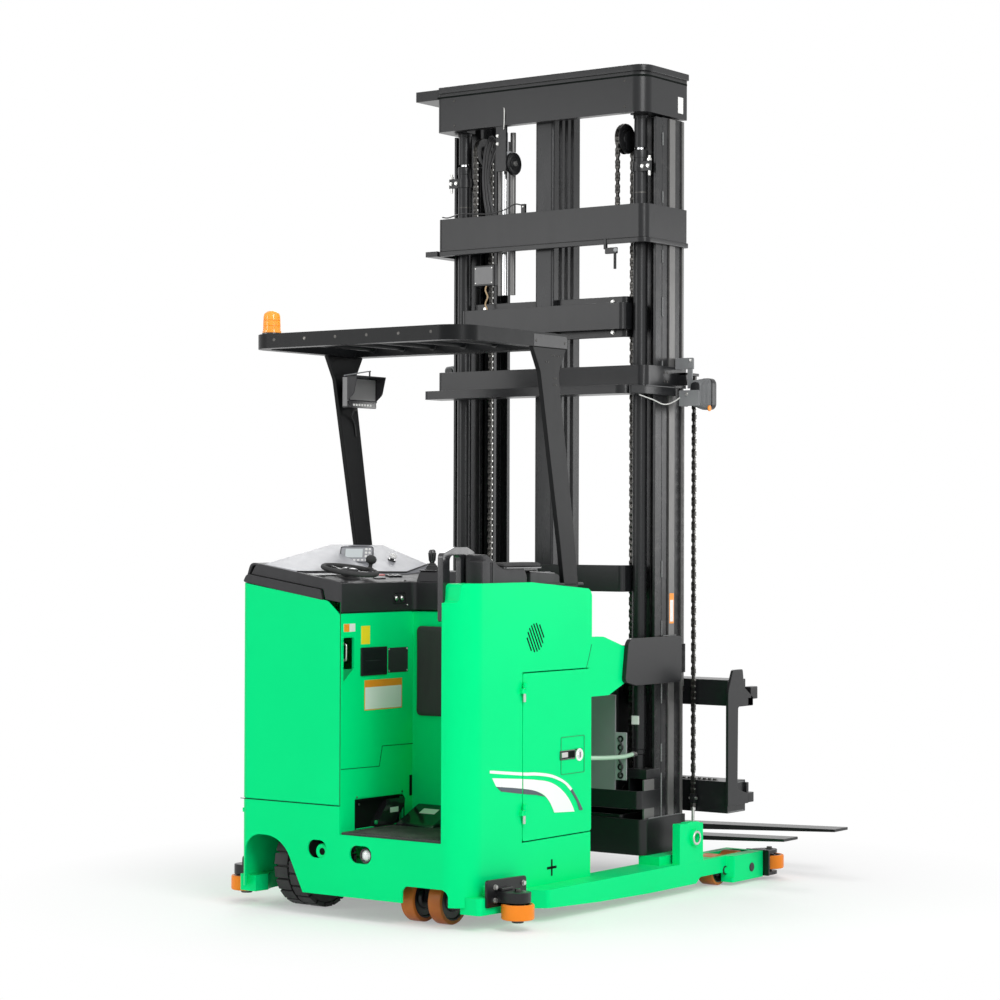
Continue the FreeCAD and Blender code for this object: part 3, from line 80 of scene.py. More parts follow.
class PaintSettings(bpy.types.PropertyGroup):
    body_green: colour_setting("Body green", (0.0, 0.78, 0.235),
        "Colour of the painted body, covers and legs")
    steel_black: colour_setting("Steel black", (0.009, 0.0095, 0.0105),
        "Colour of the painted mast, carriage and forks")
    plastic_black: colour_setting("Plastic black", (0.022, 0.022, 0.024),
        "Colour of the hood, handles and switch boxes")
    panel_grey: colour_setting("Panel grey", (0.33, 0.335, 0.36), "Colour of the console panel")
    tread_orange: colour_setting("Tread orange", (0.9, 0.25, 0.02),
        "Colour of the guide rollers' treads")
    beacon_amber: colour_setting("Beacon amber", (1.0, 0.36, 0.01), "Colour of the beacon's lens")
    stripe_white: colour_setting("Stripe white", (0.86, 0.88, 0.86),
        "Colour of the light stripes on both sides")
    stripe_navy: colour_setting("Stripe navy", (0.035, 0.055, 0.075),
        "Colour of the dark stripe edge")
    dust: number_setting("Dust", 0.1, "How much dust lies on upper faces", max=1.0,
        subtype="FACTOR")
    wear: number_setting("Wear", 0.16, "How far paint is worn off edges", max=1.0,
        subtype="FACTOR")


class DetailSettings(bpy.types.PropertyGroup):
    edge_round: number_setting("Edge rounding", 0.0022,
        "Radius on the edges of folded sheet and plate", max=0.01, unit="LENGTH")
    chain_pitch: number_setting("Chain pitch", 0.0254, "Distance between chain pins", 0.01,
        max=0.05, unit="LENGTH")
    tread_lugs: IntProperty(name="Tread lugs", description="Lugs in each row round the drive tyre",
        default=20, min=8, max=60)
    lug_height: number_setting("Lug height", 0.011, "Depth of the drive tyre's grooves", max=0.03,
        unit="LENGTH")
    bolt_size: number_setting("Bolt size", 0.01, "Thread size of the frame bolts", 0.004,
        max=0.024, unit="LENGTH")


class StageSettings(bpy.types.PropertyGroup):
    floor_tone: colour_setting("Floor", (0.95, 0.95, 0.95), "Colour of the floor")
    key_power: number_setting("Key light", 272.0, "Power of the large key light", subtype="POWER")
    fill_power: number_setting("Fill light", 85.0, "Power of the fill light", subtype="POWER")
    sky: number_setting("Sky", 0.6, "Strength of the pale surroundings", max=3.0)


class TruckSettings(bpy.types.PropertyGroup):
    paint: PointerProperty(type=PaintSettings, name="Paint",
        description="Colours and condition of the finishes")
    detail: PointerProperty(type=DetailSettings, name="Detail",
        description="Sizes of repeated details")
    stage: PointerProperty(type=StageSettings, name="Stage", description="Floor and lights")


def settings():
    return bpy.context.scene.turret_truck


# places

def at(x, y, z):
    """A point in metres, from millimetres ahead of the rear face, left of the
    centre plane and above the floor."""
    return Vector((REAR + x / 1000, MIDDLE + y / 1000, z / 1000))


def limits(node):
    """A CAD node's lowest and highest corner in those millimetres."""
    return [((one.x - REAR) * 1000, (one.y - MIDDLE) * 1000, one.z * 1000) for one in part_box(node)]


# effects

def group(name, left, right, inputs, outputs):
    """A node group with the nodes at its ends: inputs are {name: value}, outputs
    {name: kind}."""
    tree = bpy.data.node_groups.new(name, "ShaderNodeTree")
    for title, value in inputs.items():
        kind = "NodeSocketColor" if isinstance(value, tuple) else "NodeSocketFloat"
        item = tree.interface.new_socket(name=title, in_out="INPUT", socket_type=kind)
        item.default_value = value
    for title, kind in outputs.items():
        tree.interface.new_socket(name=title, in_out="OUTPUT", socket_type=kind)
    start = node(tree, "NodeGroupInput", (left, 0))
    return tree, start, node(tree, "NodeGroupOutput", (right, 0))


def node(tree, kind, place, **values):
    item = tree.nodes.new(kind)
    item.location = place
    for name, value in values.items():
        setattr(item, name, value)
    return item


def feed(tree, item, values):
    """Sets a node's inputs to values, or links other nodes' outputs to them."""
    for name, value in values.items():
        if isinstance(value, bpy.types.NodeSocket):
            tree.links.new(value, item.inputs[name])
        else:
            item.inputs[name].default_value = value
    return item


def maths(tree, operation, place, first, second, clamp=False):
    item = node(tree, "ShaderNodeMath", place, operation=operation, use_clamp=clamp)
    return feed(tree, item, {0: first, 1: second}).outputs[0]


def noise(tree, place, scale, detail, vector, rough=0.5):
    item = node(tree, "ShaderNodeTexNoise", place)
    return feed(tree, item, {"Scale": scale, "Detail": detail, "Roughness": rough,
        "Vector": vector}).outputs["Fac"]


def spread(tree, place, value, low, high, out_low=0.0, out_high=1.0):
    item = node(tree, "ShaderNodeMapRange", place)
    return feed(tree, item, {"From Min": low, "From Max": high, "To Min": out_low,
        "To Max": out_high, "Value": value}).outputs["Result"]


def mixed(tree, place, factor, first, second):
    item = node(tree, "ShaderNodeMix", place, data_type="RGBA")
    return feed(tree, item, {0: factor, 6: first, 7: second}).outputs[2]


def seen_rays(tree, x, y):
    """One for rays that show a surface directly, in a reflection or through glass."""
    path = node(tree, "ShaderNodeLightPath", (x, y)).outputs
    return maths(tree, "MAXIMUM", (x + 200, y), path["Is Camera Ray"],
        maths(tree, "MAXIMUM", (x + 100, y - 150), path["Is Glossy Ray"],
        path["Is Transmission Ray"]))


def weathering_effect():
    """Dust on upper faces, worn edges and a slow change of tone."""
    tree, start, end = group("Weathering", -1200, 600, {"Colour": (0.5, 0.5, 0.5, 1.0),
        "Worn colour": (0.4, 0.4, 0.4, 1.0), "Wear": 0.2, "Dust": 0.1, "Tone": 0.08},
        {"Colour": "NodeSocketColor", "Dirt": "NodeSocketFloat"})
    where = node(tree, "ShaderNodeTexCoord", (-1200, -300)).outputs["Object"]
    shape = node(tree, "ShaderNodeNewGeometry", (-1200, -600))
    slow = spread(tree, (-700, 200), noise(tree, (-950, 200), 2.3, 4.0, where), 0.3, 0.7, -1.0,
        1.0)
    tone = maths(tree, "ADD", (-350, 250), maths(tree, "MULTIPLY", (-520, 250), slow,
        start.outputs["Tone"]), 1.0)
    toned = node(tree, "ShaderNodeVectorMath", (-180, 250), operation="SCALE")
    feed(tree, toned, {0: start.outputs["Colour"], "Scale": tone})
    patchy = spread(tree, (-700, -80), noise(tree, (-950, -80), 34.0, 6.0, where, 0.65), 0.52,
        0.66)
    edges = spread(tree, (-700, -330), shape.outputs["Pointiness"], 0.55, 0.64)
    worn = maths(tree, "MULTIPLY", (-330, -200), maths(tree, "MULTIPLY", (-500, -200), edges,
        patchy), start.outputs["Wear"], clamp=True)
    first = mixed(tree, (0, 100), worn, toned.outputs[0], start.outputs["Worn colour"])
    split = node(tree, "ShaderNodeSeparateXYZ", (-950, -620))
    feed(tree, split, {0: shape.outputs["Normal"]})
    upper = spread(tree, (-700, -620), split.outputs["Z"], 0.55, 1.0)
    drift = spread(tree, (-700, -860), noise(tree, (-950, -860), 11.0, 8.0, where, 0.6), 0.35,
        0.75)
    dirt = maths(tree, "MULTIPLY", (-150, -620), maths(tree, "MULTIPLY", (-350, -620), upper,
        drift), start.outputs["Dust"], clamp=True)
    feed(tree, end, {"Colour": mixed(tree, (250, 0), dirt, first, (0.42, 0.4, 0.37, 1.0)),
        "Dirt": dirt})
    return tree


def relief_effect():
    """A fine grain over a broader ripple, for the surface's height."""
    tree, start, end = group("Surface relief", -700, 400, {"Grain": 400.0, "Ripple": 20.0,
        "Balance": 0.5}, {"Height": "NodeSocketFloat"})
    where = node(tree, "ShaderNodeTexCoord", (-700, -250)).outputs["Object"]
    fine = noise(tree, (-400, 150), start.outputs["Grain"], 2.0, where)
    broad = noise(tree, (-400, -150), start.outputs["Ripple"], 2.0, where)
    blend = node(tree, "ShaderNodeMix", (0, 0), data_type="FLOAT")
    feed(tree, blend, {0: start.outputs["Balance"], 2: fine, 3: broad})
    feed(tree, end, {"Height": blend.outputs[0]})
    return tree


def gloss_effect():
    """Roughness that changes over the surface, with faint rub marks."""
    tree, start, end = group("Gloss change", -900, 500, {"Roughness": 0.4, "Change": 0.08,
        "Dirt": 0.0}, {"Roughness": "NodeSocketFloat"})
    where = node(tree, "ShaderNodeTexCoord", (-900, -250)).outputs["Object"]
    stretch = node(tree, "ShaderNodeMapping", (-700, -250))
    feed(tree, stretch, {"Scale": (1.0, 1.0, 0.18), "Vector": where})
    rubbed = spread(tree, (-250, -250), noise(tree, (-480, -250), 26.0, 8.0, stretch.outputs[0],
        0.7), 0.35, 0.65, -1.0, 1.0)
    change = maths(tree, "MULTIPLY", (-50, -150), rubbed, start.outputs["Change"])
    total = maths(tree, "ADD", (120, 0), start.outputs["Roughness"], change)
    dirty = maths(tree, "MULTIPLY", (-50, -400), start.outputs["Dirt"], 0.5)
    feed(tree, end, {"Roughness": maths(tree, "ADD", (300, 0), total, dirty, clamp=True)})
    return tree


def effect(tree, name, place, maker):
    item = tree.nodes.new("ShaderNodeGroup")
    item.node_tree = bpy.data.node_groups.get(name) or maker()
    item.location = place
    return item


# finishes

FINISHES = {}


def finish(name, colour, roughness, worn=(0.25, 0.25, 0.25), wear=0.0, dust=0.0, tone=0.06,
        change=0.05, grain=420.0, ripple=18.0, balance=0.5, bump=0.02, depth=0.0006, metallic=0.0,
        coat=0.0, coat_rough=0.08, specular=0.5, glow=None):
    """A painted, moulded or bare finish, with its own relief and gloss."""
    material = bpy.data.materials.new(name)
    material.use_nodes = True
    tree = material.node_tree
    shader = tree.nodes["Principled BSDF"]
    weather = effect(tree, "Weathering", (-650, 200), weathering_effect)
    feed(tree, weather, {"Colour": (*colour, 1.0), "Worn colour": (*worn, 1.0), "Wear": wear,
        "Dust": dust, "Tone": tone})
    gloss = effect(tree, "Gloss change", (-400, -50), gloss_effect)
    feed(tree, gloss, {"Roughness": roughness, "Change": change, "Dirt": weather.outputs["Dirt"]})
    relief = effect(tree, "Surface relief", (-650, -350), relief_effect)
    feed(tree, relief, {"Grain": grain, "Ripple": ripple, "Balance": balance})
    lift = node(tree, "ShaderNodeBump", (-300, -350))
    feed(tree, lift, {"Strength": min(1.0, bump * 10), "Distance": depth,
        "Height": relief.outputs["Height"]})
    feed(tree, shader, {"Base Color": weather.outputs["Colour"],
        "Roughness": gloss.outputs["Roughness"], "Normal": lift.outputs["Normal"],
        "Metallic": metallic, "Coat Weight": coat, "Coat Roughness": coat_rough,
        "Specular IOR Level": specular})
    if glow is not None:
        feed(tree, shader, {"Emission Color": (*glow[:3], 1.0), "Emission Strength": glow[3]})
    FINISHES[name] = material


def make_finishes():
    paint = settings().paint
    dust, wear = paint.dust, paint.wear
    finish("green_paint", paint.body_green, 0.3, (0.1, 0.32, 0.16), wear, dust * 0.5, tone=0.02,
        change=0.01, grain=900.0, ripple=55.0, balance=0.75, bump=0.014, specular=0.05)
    finish(BLACK, paint.steel_black, 0.3, (0.2, 0.19, 0.18), wear * 1.2, dust * 0.6, tone=0.12,
        change=0.012, grain=700.0, ripple=45.0, balance=0.55, bump=0.022, coat=0.05,
        coat_rough=0.14, specular=0.34)
    finish(RAIL, (0.016, 0.0165, 0.0175), 0.28, (0.24, 0.23, 0.22), wear * 2, dust * 0.6,
        tone=0.15, change=0.02, metallic=0.3, ripple=60.0, specular=0.4)
    finish("guard_black", (0.005, 0.0055, 0.006), 0.34, (0.2, 0.19, 0.18), wear, dust * 0.5,
        tone=0.1, change=0.012, grain=700.0, specular=0.16)
    finish("rail_steel", (0.15, 0.148, 0.145), 0.4, (0.3, 0.29, 0.27), wear * 2, dust, tone=0.15,
        change=0.03, metallic=0.6, ripple=60.0)
    finish(HOOD, paint.plastic_black, 0.4, dust=dust * 0.5, specular=0.3, tone=0.1, change=0.06,
        grain=1300.0, bump=0.05, depth=0.0004, balance=0.15)
    finish(GLOSS, (0.016, 0.016, 0.018), 0.16, tone=0.05, coat=0.4, bump=0.01)
    finish("console_grey", paint.panel_grey, 0.38, dust=dust * 0.4, tone=0.05, grain=1500.0,
        bump=0.05, depth=0.0003, balance=0.1)
    finish(FOAM, (0.03, 0.03, 0.031), 0.78, dust=dust, tone=0.15, grain=900.0, bump=0.09,
        depth=0.0008, balance=0.12)
    finish("mat_rubber", (0.026, 0.027, 0.027), 0.72, dust=dust * 2.5, tone=0.2, grain=650.0,
        bump=0.08, depth=0.0008, balance=0.2)
    finish("tyre_rubber", (0.02, 0.02, 0.021), 0.62, (0.1, 0.095, 0.09), wear, dust, tone=0.25,
        change=0.08, grain=500.0, bump=0.06, depth=0.0008, balance=0.3)
    finish("tread_orange", paint.tread_orange, 0.34, (0.35, 0.12, 0.03), wear * 2, dust, tone=0.12,
        bump=0.03, specular=0.15)
    finish("tread_worn", (0.4, 0.115, 0.022), 0.42, (0.1, 0.06, 0.04), 0.5, dust, tone=0.6,
        change=0.1, bump=0.05, specular=0.25)
    finish(ZINC, (0.62, 0.62, 0.6), 0.3, tone=0.12, change=0.12, metallic=0.95, bump=0.03)
    finish("chrome_rod", (0.78, 0.79, 0.8), 0.1, tone=0.03, change=0.04, metallic=1.0, bump=0.004)
    finish(CHAIN, (0.07, 0.068, 0.064), 0.34, (0.34, 0.32, 0.29), 0.6, dust * 0.7, tone=0.3,
        change=0.12, metallic=0.9, bump=0.04)
    finish("amber_lens", paint.beacon_amber, 0.14, tone=0.05, coat=0.7, bump=0.01,
        glow=(1.0, 0.33, 0.01, 0.12))
    finish("lamp_lens", (0.8, 0.82, 0.84), 0.08, tone=0.06, coat=0.8, metallic=0.35, ripple=120.0)
    finish("screen_light", (0.62, 0.66, 0.67), 0.12, tone=0.1, coat=0.8,
        glow=(0.6, 0.66, 0.68, 0.08), bump=0.004)
    finish("screen_dark", (0.008, 0.013, 0.013), 0.07, tone=0.2, coat=1.0, coat_rough=0.03,
        bump=0.004)
    finish("screen_grey", (0.17, 0.17, 0.17), 0.16, tone=0.08, coat=0.6, bump=0.004)
    finish("key_white", (0.78, 0.78, 0.76), 0.35, tone=0.04)
    finish("label_white", (0.8, 0.8, 0.78), 0.42, tone=0.04, bump=0.01)
    finish("label_yellow", (0.93, 0.72, 0.02), 0.4, tone=0.04, bump=0.01)
    finish("label_orange", (0.93, 0.3, 0.02), 0.4, tone=0.04, bump=0.01)
    finish("label_dark", (0.045, 0.047, 0.05), 0.38, tone=0.12, metallic=0.3)
    finish("stripe_white", paint.stripe_white, 0.32, tone=0.02, coat=0.5, bump=0.01)
    finish("stripe_navy", paint.stripe_navy, 0.32, tone=0.05, coat=0.5, bump=0.01)
    # painted shade: a near-black colour for the shade inside seams, slots, holes and grooves
    finish(GAP_SHADOW, (0.004, 0.006, 0.005), 0.85, tone=0.1, specular=0.1)
    # painted shade: the body green at 0.42 of its brightness, for recess floors and seams that lie
    # in shade
    finish("shaded_green", tuple(0.42 * one for one in paint.body_green), 0.45, tone=0.05)
    finish("label_grey", (0.3, 0.31, 0.32), 0.42, tone=0.05, bump=0.01)
    finish(WELD, (0.16, 0.165, 0.165), 0.5, tone=0.2, change=0.1, bump=0.09, grain=300.0,
        depth=0.001)
    finish("ribbon_tan", (0.42, 0.3, 0.17), 0.5, tone=0.1)
    finish("bracket_grey", (0.2, 0.205, 0.21), 0.42, tone=0.1, bump=0.03)
    # painted shade: a dark green line for the shade in the panel seams
    finish("seam_shade_green", (0.0, 0.13, 0.035), 0.6, tone=0.05)
    finish("hose_rubber", (0.022, 0.022, 0.023), 0.46, tone=0.15, dust=dust, bump=0.05,
        grain=900.0)
    finish("lead_white", (0.6, 0.6, 0.58), 0.45, tone=0.05)
    finish("red_plastic", (0.65, 0.02, 0.015), 0.3, tone=0.04, coat=0.3, bump=0.01)
    finish("pipe_green", (0.42, 0.62, 0.46), 0.35, tone=0.08, dust=dust)


# shapes

AXES = {"x": Matrix.Rotation(pi / 2, 3, "Y"), "y": Matrix.Rotation(-pi / 2, 3, "X"),
    "z": Matrix.Identity(3)}
SHARP = radians(32)


def rounded(outline, steps=5):
    """An outline whose corners (a, b, radius) are turned into arcs."""
    points = []
    count = len(outline)
    for index, corner in enumerate(outline):
        here = Vector(corner[:2])
        if len(corner) < 3:
            points.append(here)
            continue
        back = Vector(outline[index - 1][:2]) - here
        ahead = Vector(outline[(index + 1) % count][:2]) - here
        reach = min(corner[2], 0.49 * back.length, 0.49 * ahead.length)
        start, end = here + back.normalized() * reach, here + ahead.normalized() * reach
        for step in range(steps + 1):
            share = step / steps
            points.append(start * (1 - share) ** 2 + here * 2 * share * (1 - share)
                          + end * share ** 2)
    return points


def rect(left, right, low, high, *corner):
    """The outline of a rectangle, with the radius of its corners."""
    return [(left, low, *corner), (right, low, *corner), (right, high, *corner),
        (left, high, *corner)]


class Piece:
    """A piece of the truck gathered from rounded solids, in millimetres."""

    def __init__(self, name):
        self.name, self.mesh, self.names = name, bmesh.new(), []

    def add(self, part, name, rounding=0.0, segments=2):
        """Takes in a solid, after rounding its sharp edges."""
        if rounding:
            bmesh.ops.remove_doubles(part, verts=part.verts, dist=0.001)
            edges = [one for one in part.edges
                     if len(one.link_faces) == 2 and one.calc_face_angle(0) > SHARP]
            if edges:
                bmesh.ops.bevel(part, geom=edges, offset=rounding, segments=segments, profile=0.5,
                    affect="EDGES", clamp_overlap=True)
        if name not in self.names:
            self.names.append(name)
        for face in part.faces:
            face.material_index = self.names.index(name)
        scratch = bpy.data.meshes.new("scratch")
        part.to_mesh(scratch)
        part.free()
        self.mesh.from_mesh(scratch)
        bpy.data.meshes.remove(scratch)

    def copies(self, other, transforms):
        """Takes in another piece's solids once for each transform."""
        for name in other.names:
            if name not in self.names:
                self.names.append(name)
        for face in other.mesh.faces:
            face.material_index = self.names.index(other.names[face.material_index])
        other.names = self.names
        scratch = bpy.data.meshes.new("scratch")
        for transform in transforms:
            other.mesh.to_mesh(scratch)
            scratch.transform(transform)
            self.mesh.from_mesh(scratch)
        bpy.data.meshes.remove(scratch)

    def box(self, x, y, z, name, rounding=1.5, turn=None):
        part = bmesh.new()
        middle = Vector([(one[0] + one[1]) / 2 for one in (x, y, z)])
        size = [abs(one[1] - one[0]) for one in (x, y, z)]
        bmesh.ops.create_cube(part, size=1.0)
        bmesh.ops.scale(part, vec=size, verts=part.verts)
        if turn is not None:
            bmesh.ops.rotate(part, cent=(0, 0, 0), matrix=turn, verts=part.verts)
        bmesh.ops.translate(part, vec=middle, verts=part.verts)
        self.add(part, name, min(rounding, 0.45 * min(size)))

    def rod(self, axis, centre, reach, radius, name, rounding=0.8, sides=28):
        """A round bar; centre holds the two places across the axis."""
        part = bmesh.new()
        bmesh.ops.create_cone(part, cap_ends=True, segments=sides, radius1=radius, radius2=radius,
            depth=abs(reach[1] - reach[0]))
        bmesh.ops.rotate(part, cent=(0, 0, 0), matrix=AXES[axis], verts=part.verts)
        middle = (reach[0] + reach[1]) / 2
        place = {"x": (middle, *centre), "y": (centre[0], middle, centre[1]),
            "z": (*centre, middle)}[axis]
        bmesh.ops.translate(part, vec=place, verts=part.verts)
        self.add(part, name, rounding)

    def prism(self, plane, outline, reach, name, rounding=1.5, holes=(), steps=5, segments=2):
        """A plate with a rounded outline; plane is xy, xz or yz."""
        part = bmesh.new()
        loops = [rounded(outline, steps)] + [rounded(one, steps) for one in holes]
        order = {"xy": lambda a, b, c: (a, b, c), "xz": lambda a, b, c: (a, c, b),
            "yz": lambda a, b, c: (c, a, b)}[plane]
        edges = []
        for loop in loops:
            verts = [part.verts.new(order(one.x, one.y, reach[0])) for one in loop]
            edges += [part.edges.new((verts[i - 1], verts[i])) for i in range(len(verts))]
        if len(loops) == 1:
            part.faces.new(verts)
        else:
            bmesh.ops.triangle_fill(part, use_beauty=True, use_dissolve=True, edges=edges)
        grown = bmesh.ops.extrude_face_region(part, geom=part.faces[:])
        move = Vector(order(0, 0, reach[1] - reach[0]))
        bmesh.ops.translate(part, vec=move,
            verts=[one for one in grown["geom"] if isinstance(one, bmesh.types.BMVert)])
        bmesh.ops.recalc_face_normals(part, faces=part.faces)
        self.add(part, name, rounding, segments)

    def facets(self, points, faces, name, rounding, segments):
        """A solid given by its corners and faces."""
        part = bmesh.new()
        verts = [part.verts.new(one) for one in points]
        for face in faces:
            part.faces.new([verts[i] for i in face])
        bmesh.ops.recalc_face_normals(part, faces=part.faces)
        self.add(part, name, rounding, segments)

    def move(self, matrix):
        """Places all that has been gathered so far."""
        bmesh.ops.transform(self.mesh, matrix=matrix, verts=self.mesh.verts)

    def lathe(self, axis, centre, profile, name, sides=40):
        """A turned solid: profile holds (along the axis, radius) from end to end."""
        part = bmesh.new()
        rings = []
        for along, radius in profile:
            if radius <= 0:
                rings.append([part.verts.new((0, 0, along))])
                continue
            rings.append([part.verts.new((radius * cos(turn), radius * sin(turn), along))
                for turn in (tau * i / sides for i in range(sides))])
        for low, high in zip(rings, rings[1:]):
            for i in range(sides):
                j = (i + 1) % sides
                corners = list(dict.fromkeys((low[i % len(low)], low[j % len(low)],
                    high[j % len(high)], high[i % len(high)])))
                if len(corners) > 2:
                    part.faces.new(corners)
        if profile[0] == profile[-1]:
            bmesh.ops.remove_doubles(part, verts=part.verts, dist=0.001)
        for ring in (rings[0], rings[-1]):
            if len(ring) > 2 and profile[0] != profile[-1]:
                part.faces.new(ring)
        bmesh.ops.recalc_face_normals(part, faces=part.faces)
        bmesh.ops.rotate(part, cent=(0, 0, 0), matrix=AXES[axis], verts=part.verts)
        bmesh.ops.translate(part, vec=centre, verts=part.verts)
        self.add(part, name)

    def hexagon(self, axis, centre, reach, across, name=ZINC):
        self.rod(axis, centre, reach, across / 2 / cos(pi / 6), name, 0.5, 6)

    def bolt(self, axis, place, size, way=1, name=ZINC):
        """A washer and hexagon head; place is on the plate, way points outwards."""
        across = [place[i] for i in range(3) if "xyz"[i] != axis]
        here = place["xyz".index(axis)]
        self.rod(axis, across, (here - way * 0.5, here + way * 0.2 * size), size * 1.05, name, 0.3,
            20)
        self.hexagon(axis, across, (here + way * 0.2 * size, here + way * 0.85 * size),
            size * 1.65, name)

    def screw(self, axis, place, size, way=1, name=ZINC):
        """A low domed screw head."""
        profile = [(-0.5, size), (size * 0.25, size), (size * 0.5, size * 0.7),
            (size * 0.55, size * 0.25), (size * 0.3, 0)]
        self.lathe(axis, place, [(way * a, r) for a, r in profile], name, 16)

    def tube(self, points, radius, name, sides=10, closed=False):
        """A bar bent along points that are near each other."""
        part = bmesh.new()
        path = [Vector(one) for one in points]
        count = len(path)
        rings, up = [], None
        for i, here in enumerate(path):
            if closed:
                ahead = (path[(i + 1) % count] - path[i - 1]).normalized()
            else:
                ahead = (path[min(i + 1, count - 1)] - path[max(i - 1, 0)]).normalized()
            if up is None:
                up = ahead.orthogonal().normalized()
            up = (up - ahead * up.dot(ahead)).normalized()
            side = ahead.cross(up)
            rings.append([part.verts.new(here + radius * (up * cos(t) + side * sin(t)))
                for t in [tau * k / sides for k in range(sides)]])
        pairs = list(zip(rings, rings[1:])) + ([(rings[-1], rings[0])] if closed else [])
        for low, high in pairs:
            for k in range(sides):
                part.faces.new([low[k], low[(k + 1) % sides], high[(k + 1) % sides], high[k]])
        if not closed:
            part.faces.new(rings[0])
            part.faces.new(rings[-1])
        bmesh.ops.recalc_face_normals(part, faces=part.faces)
        self.add(part, name)

    def done(self, body, stands_for=()):
        """Makes the object in the frame, riding on a body."""
        bmesh.ops.scale(self.mesh, vec=(0.001,) * 3, verts=self.mesh.verts)
        bmesh.ops.translate(self.mesh, vec=(REAR, MIDDLE, 0), verts=self.mesh.verts)
        data = bpy.data.meshes.new(self.name)
        self.mesh.to_mesh(data)
        self.mesh.free()
        for name in self.names:
            data.materials.append(FINISHES[name])
        data.shade_smooth()
        data.set_sharp_from_angle(angle=SHARP)
        item = bpy.data.objects.new(self.name, data)
        bpy.context.scene.collection.objects.link(item)
        calm = item.modifiers.new("even shading", "WEIGHTED_NORMAL")
        calm.keep_sharp, calm.weight = True, 60
        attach(item, body)
        if stands_for:
            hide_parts(*stands_for)
        return item


def smooth_path(points, steps=6):
    """A path eased through its points, for bent bar and pipe."""
    spots = [Vector(one) for one in points]
    spots = [spots[0] * 2 - spots[1], *spots, spots[-1] * 2 - spots[-2]]
    result = []
    for p0, p1, p2, p3 in zip(spots, spots[1:], spots[2:], spots[3:]):
        for step in range(steps):
            t = step / steps
            result.append(0.5 * ((2 * p1) + (p2 - p0) * t
                                 + (2 * p0 - 5 * p1 + 4 * p2 - p3) * t * t
                                 + (3 * p1 - p0 - 3 * p2 + p3) * t ** 3))
    return result + [spots[-2]]


def refine(node, name, width=None):
    """Rounds the edges of a CAD piece that stays, and paints it."""
    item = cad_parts[node]
    width = settings().detail.edge_round if width is None else width
    item.data.materials.clear()
    item.data.materials.append(FINISHES[name])
    weld = item.modifiers.new("weld", "WELD")
    weld.merge_threshold = 0.00001
    flat = item.modifiers.new("flat faces", "DECIMATE")
    flat.decimate_type = "DISSOLVE"
    flat.angle_limit = radians(0.6)
    if width:
        edge = item.modifiers.new("rounded edges", "BEVEL")
        edge.limit_method, edge.angle_limit = "ANGLE", SHARP
        edge.width, edge.segments = width, 2
        edge.use_clamp_overlap, edge.harden_normals = True, False
        edge.miter_outer = "MITER_ARC"
    calm = item.modifiers.new("even shading", "WEIGHTED_NORMAL")
    calm.keep_sharp, calm.weight = False, 60


# pieces

class TRUCK_OT_finishes(bpy.types.Operator):
    """Mixes the paints, plastics, rubbers and metals"""
    bl_idname = "truck.finishes"
    bl_label = "Finishes"

    def execute(self, context):
        make_finishes()
        return {"FINISHED"}


def make_steelwork():
    for name in ("chassis_frame", "side_tower", "rear_left_cover", "left_side_panel",
            "compartment_liner", "battery_door"):
        refine(name, "green_paint", 0.0032)
    for name in ("straddle_leg_right", "straddle_leg_left"):
        refine(name, "green_paint")
    for name in ("overhead_guard", "guard_posts"):
        refine(name, "guard_black")
    for name in ("roller_brackets", "outer_mast_bands", "mast_tie", "middle_mast_head",
            "lift_carriage", "traverse_slider", "turret_head", "fork_carriage", "fork_rear",
            "fork_front", "battery_block", "drive_unit", "caster_fork"):
        refine(name, BLACK)
    for name in ("outer_mast", "middle_mast", "inner_mast"):
        refine(name, RAIL, 0.0025)
    refine("grab_handle", GLOSS, 0.004)
    refine("lift_rods", "chrome_rod", 0.0008)


class TRUCK_OT_steelwork(bpy.types.Operator):
    """Rounds and paints the body, covers, legs, mast, carriage and forks"""
    bl_idname = "truck.steelwork"
    bl_label = "Steelwork and covers"

    def execute(self, context):
        make_steelwork()
        return {"FINISHED"}


def tread_wheel(piece, axis, centre, radius, width, bore, name):
    """A cast wheel with a bonded tread, rounded at its shoulders."""
    half = width / 2
    core = radius - max(9.0, radius * 0.16)
    piece.lathe(axis, centre, [(-half, core), (-half, radius - 5), (-half + 1.5, radius - 2),
        (-half + 5, radius), (half - 5, radius), (half - 1.5, radius - 2), (half, radius - 5),
        (half, core), (half - 1, core - 1), (-half + 1, core - 1), (-half, core)], name, 56)
    dish = core * 0.55
    piece.lathe(axis, centre, [(-half + 1.2, core), (-half + 1.2, core - 6),
        (-half + 7, core - 10), (-half + 9, dish), (-half + 2, dish - 4), (-half - 1, dish - 8),
        (-half - 1, bore), (half + 1, bore), (half + 1, dish - 8), (half - 2, dish - 4),
        (half - 9, dish), (half - 7, core - 10), (half - 1.2, core - 6), (half - 1.2, core),
        (-half + 1.2, core)], BLACK, 56)


def middle_of(node):
    """A CAD node's centre and its size along each axis."""
    low, high = limits(node)
    return [(a + b) / 2 for a, b in zip(low, high)], [b - a for a, b in zip(low, high)]


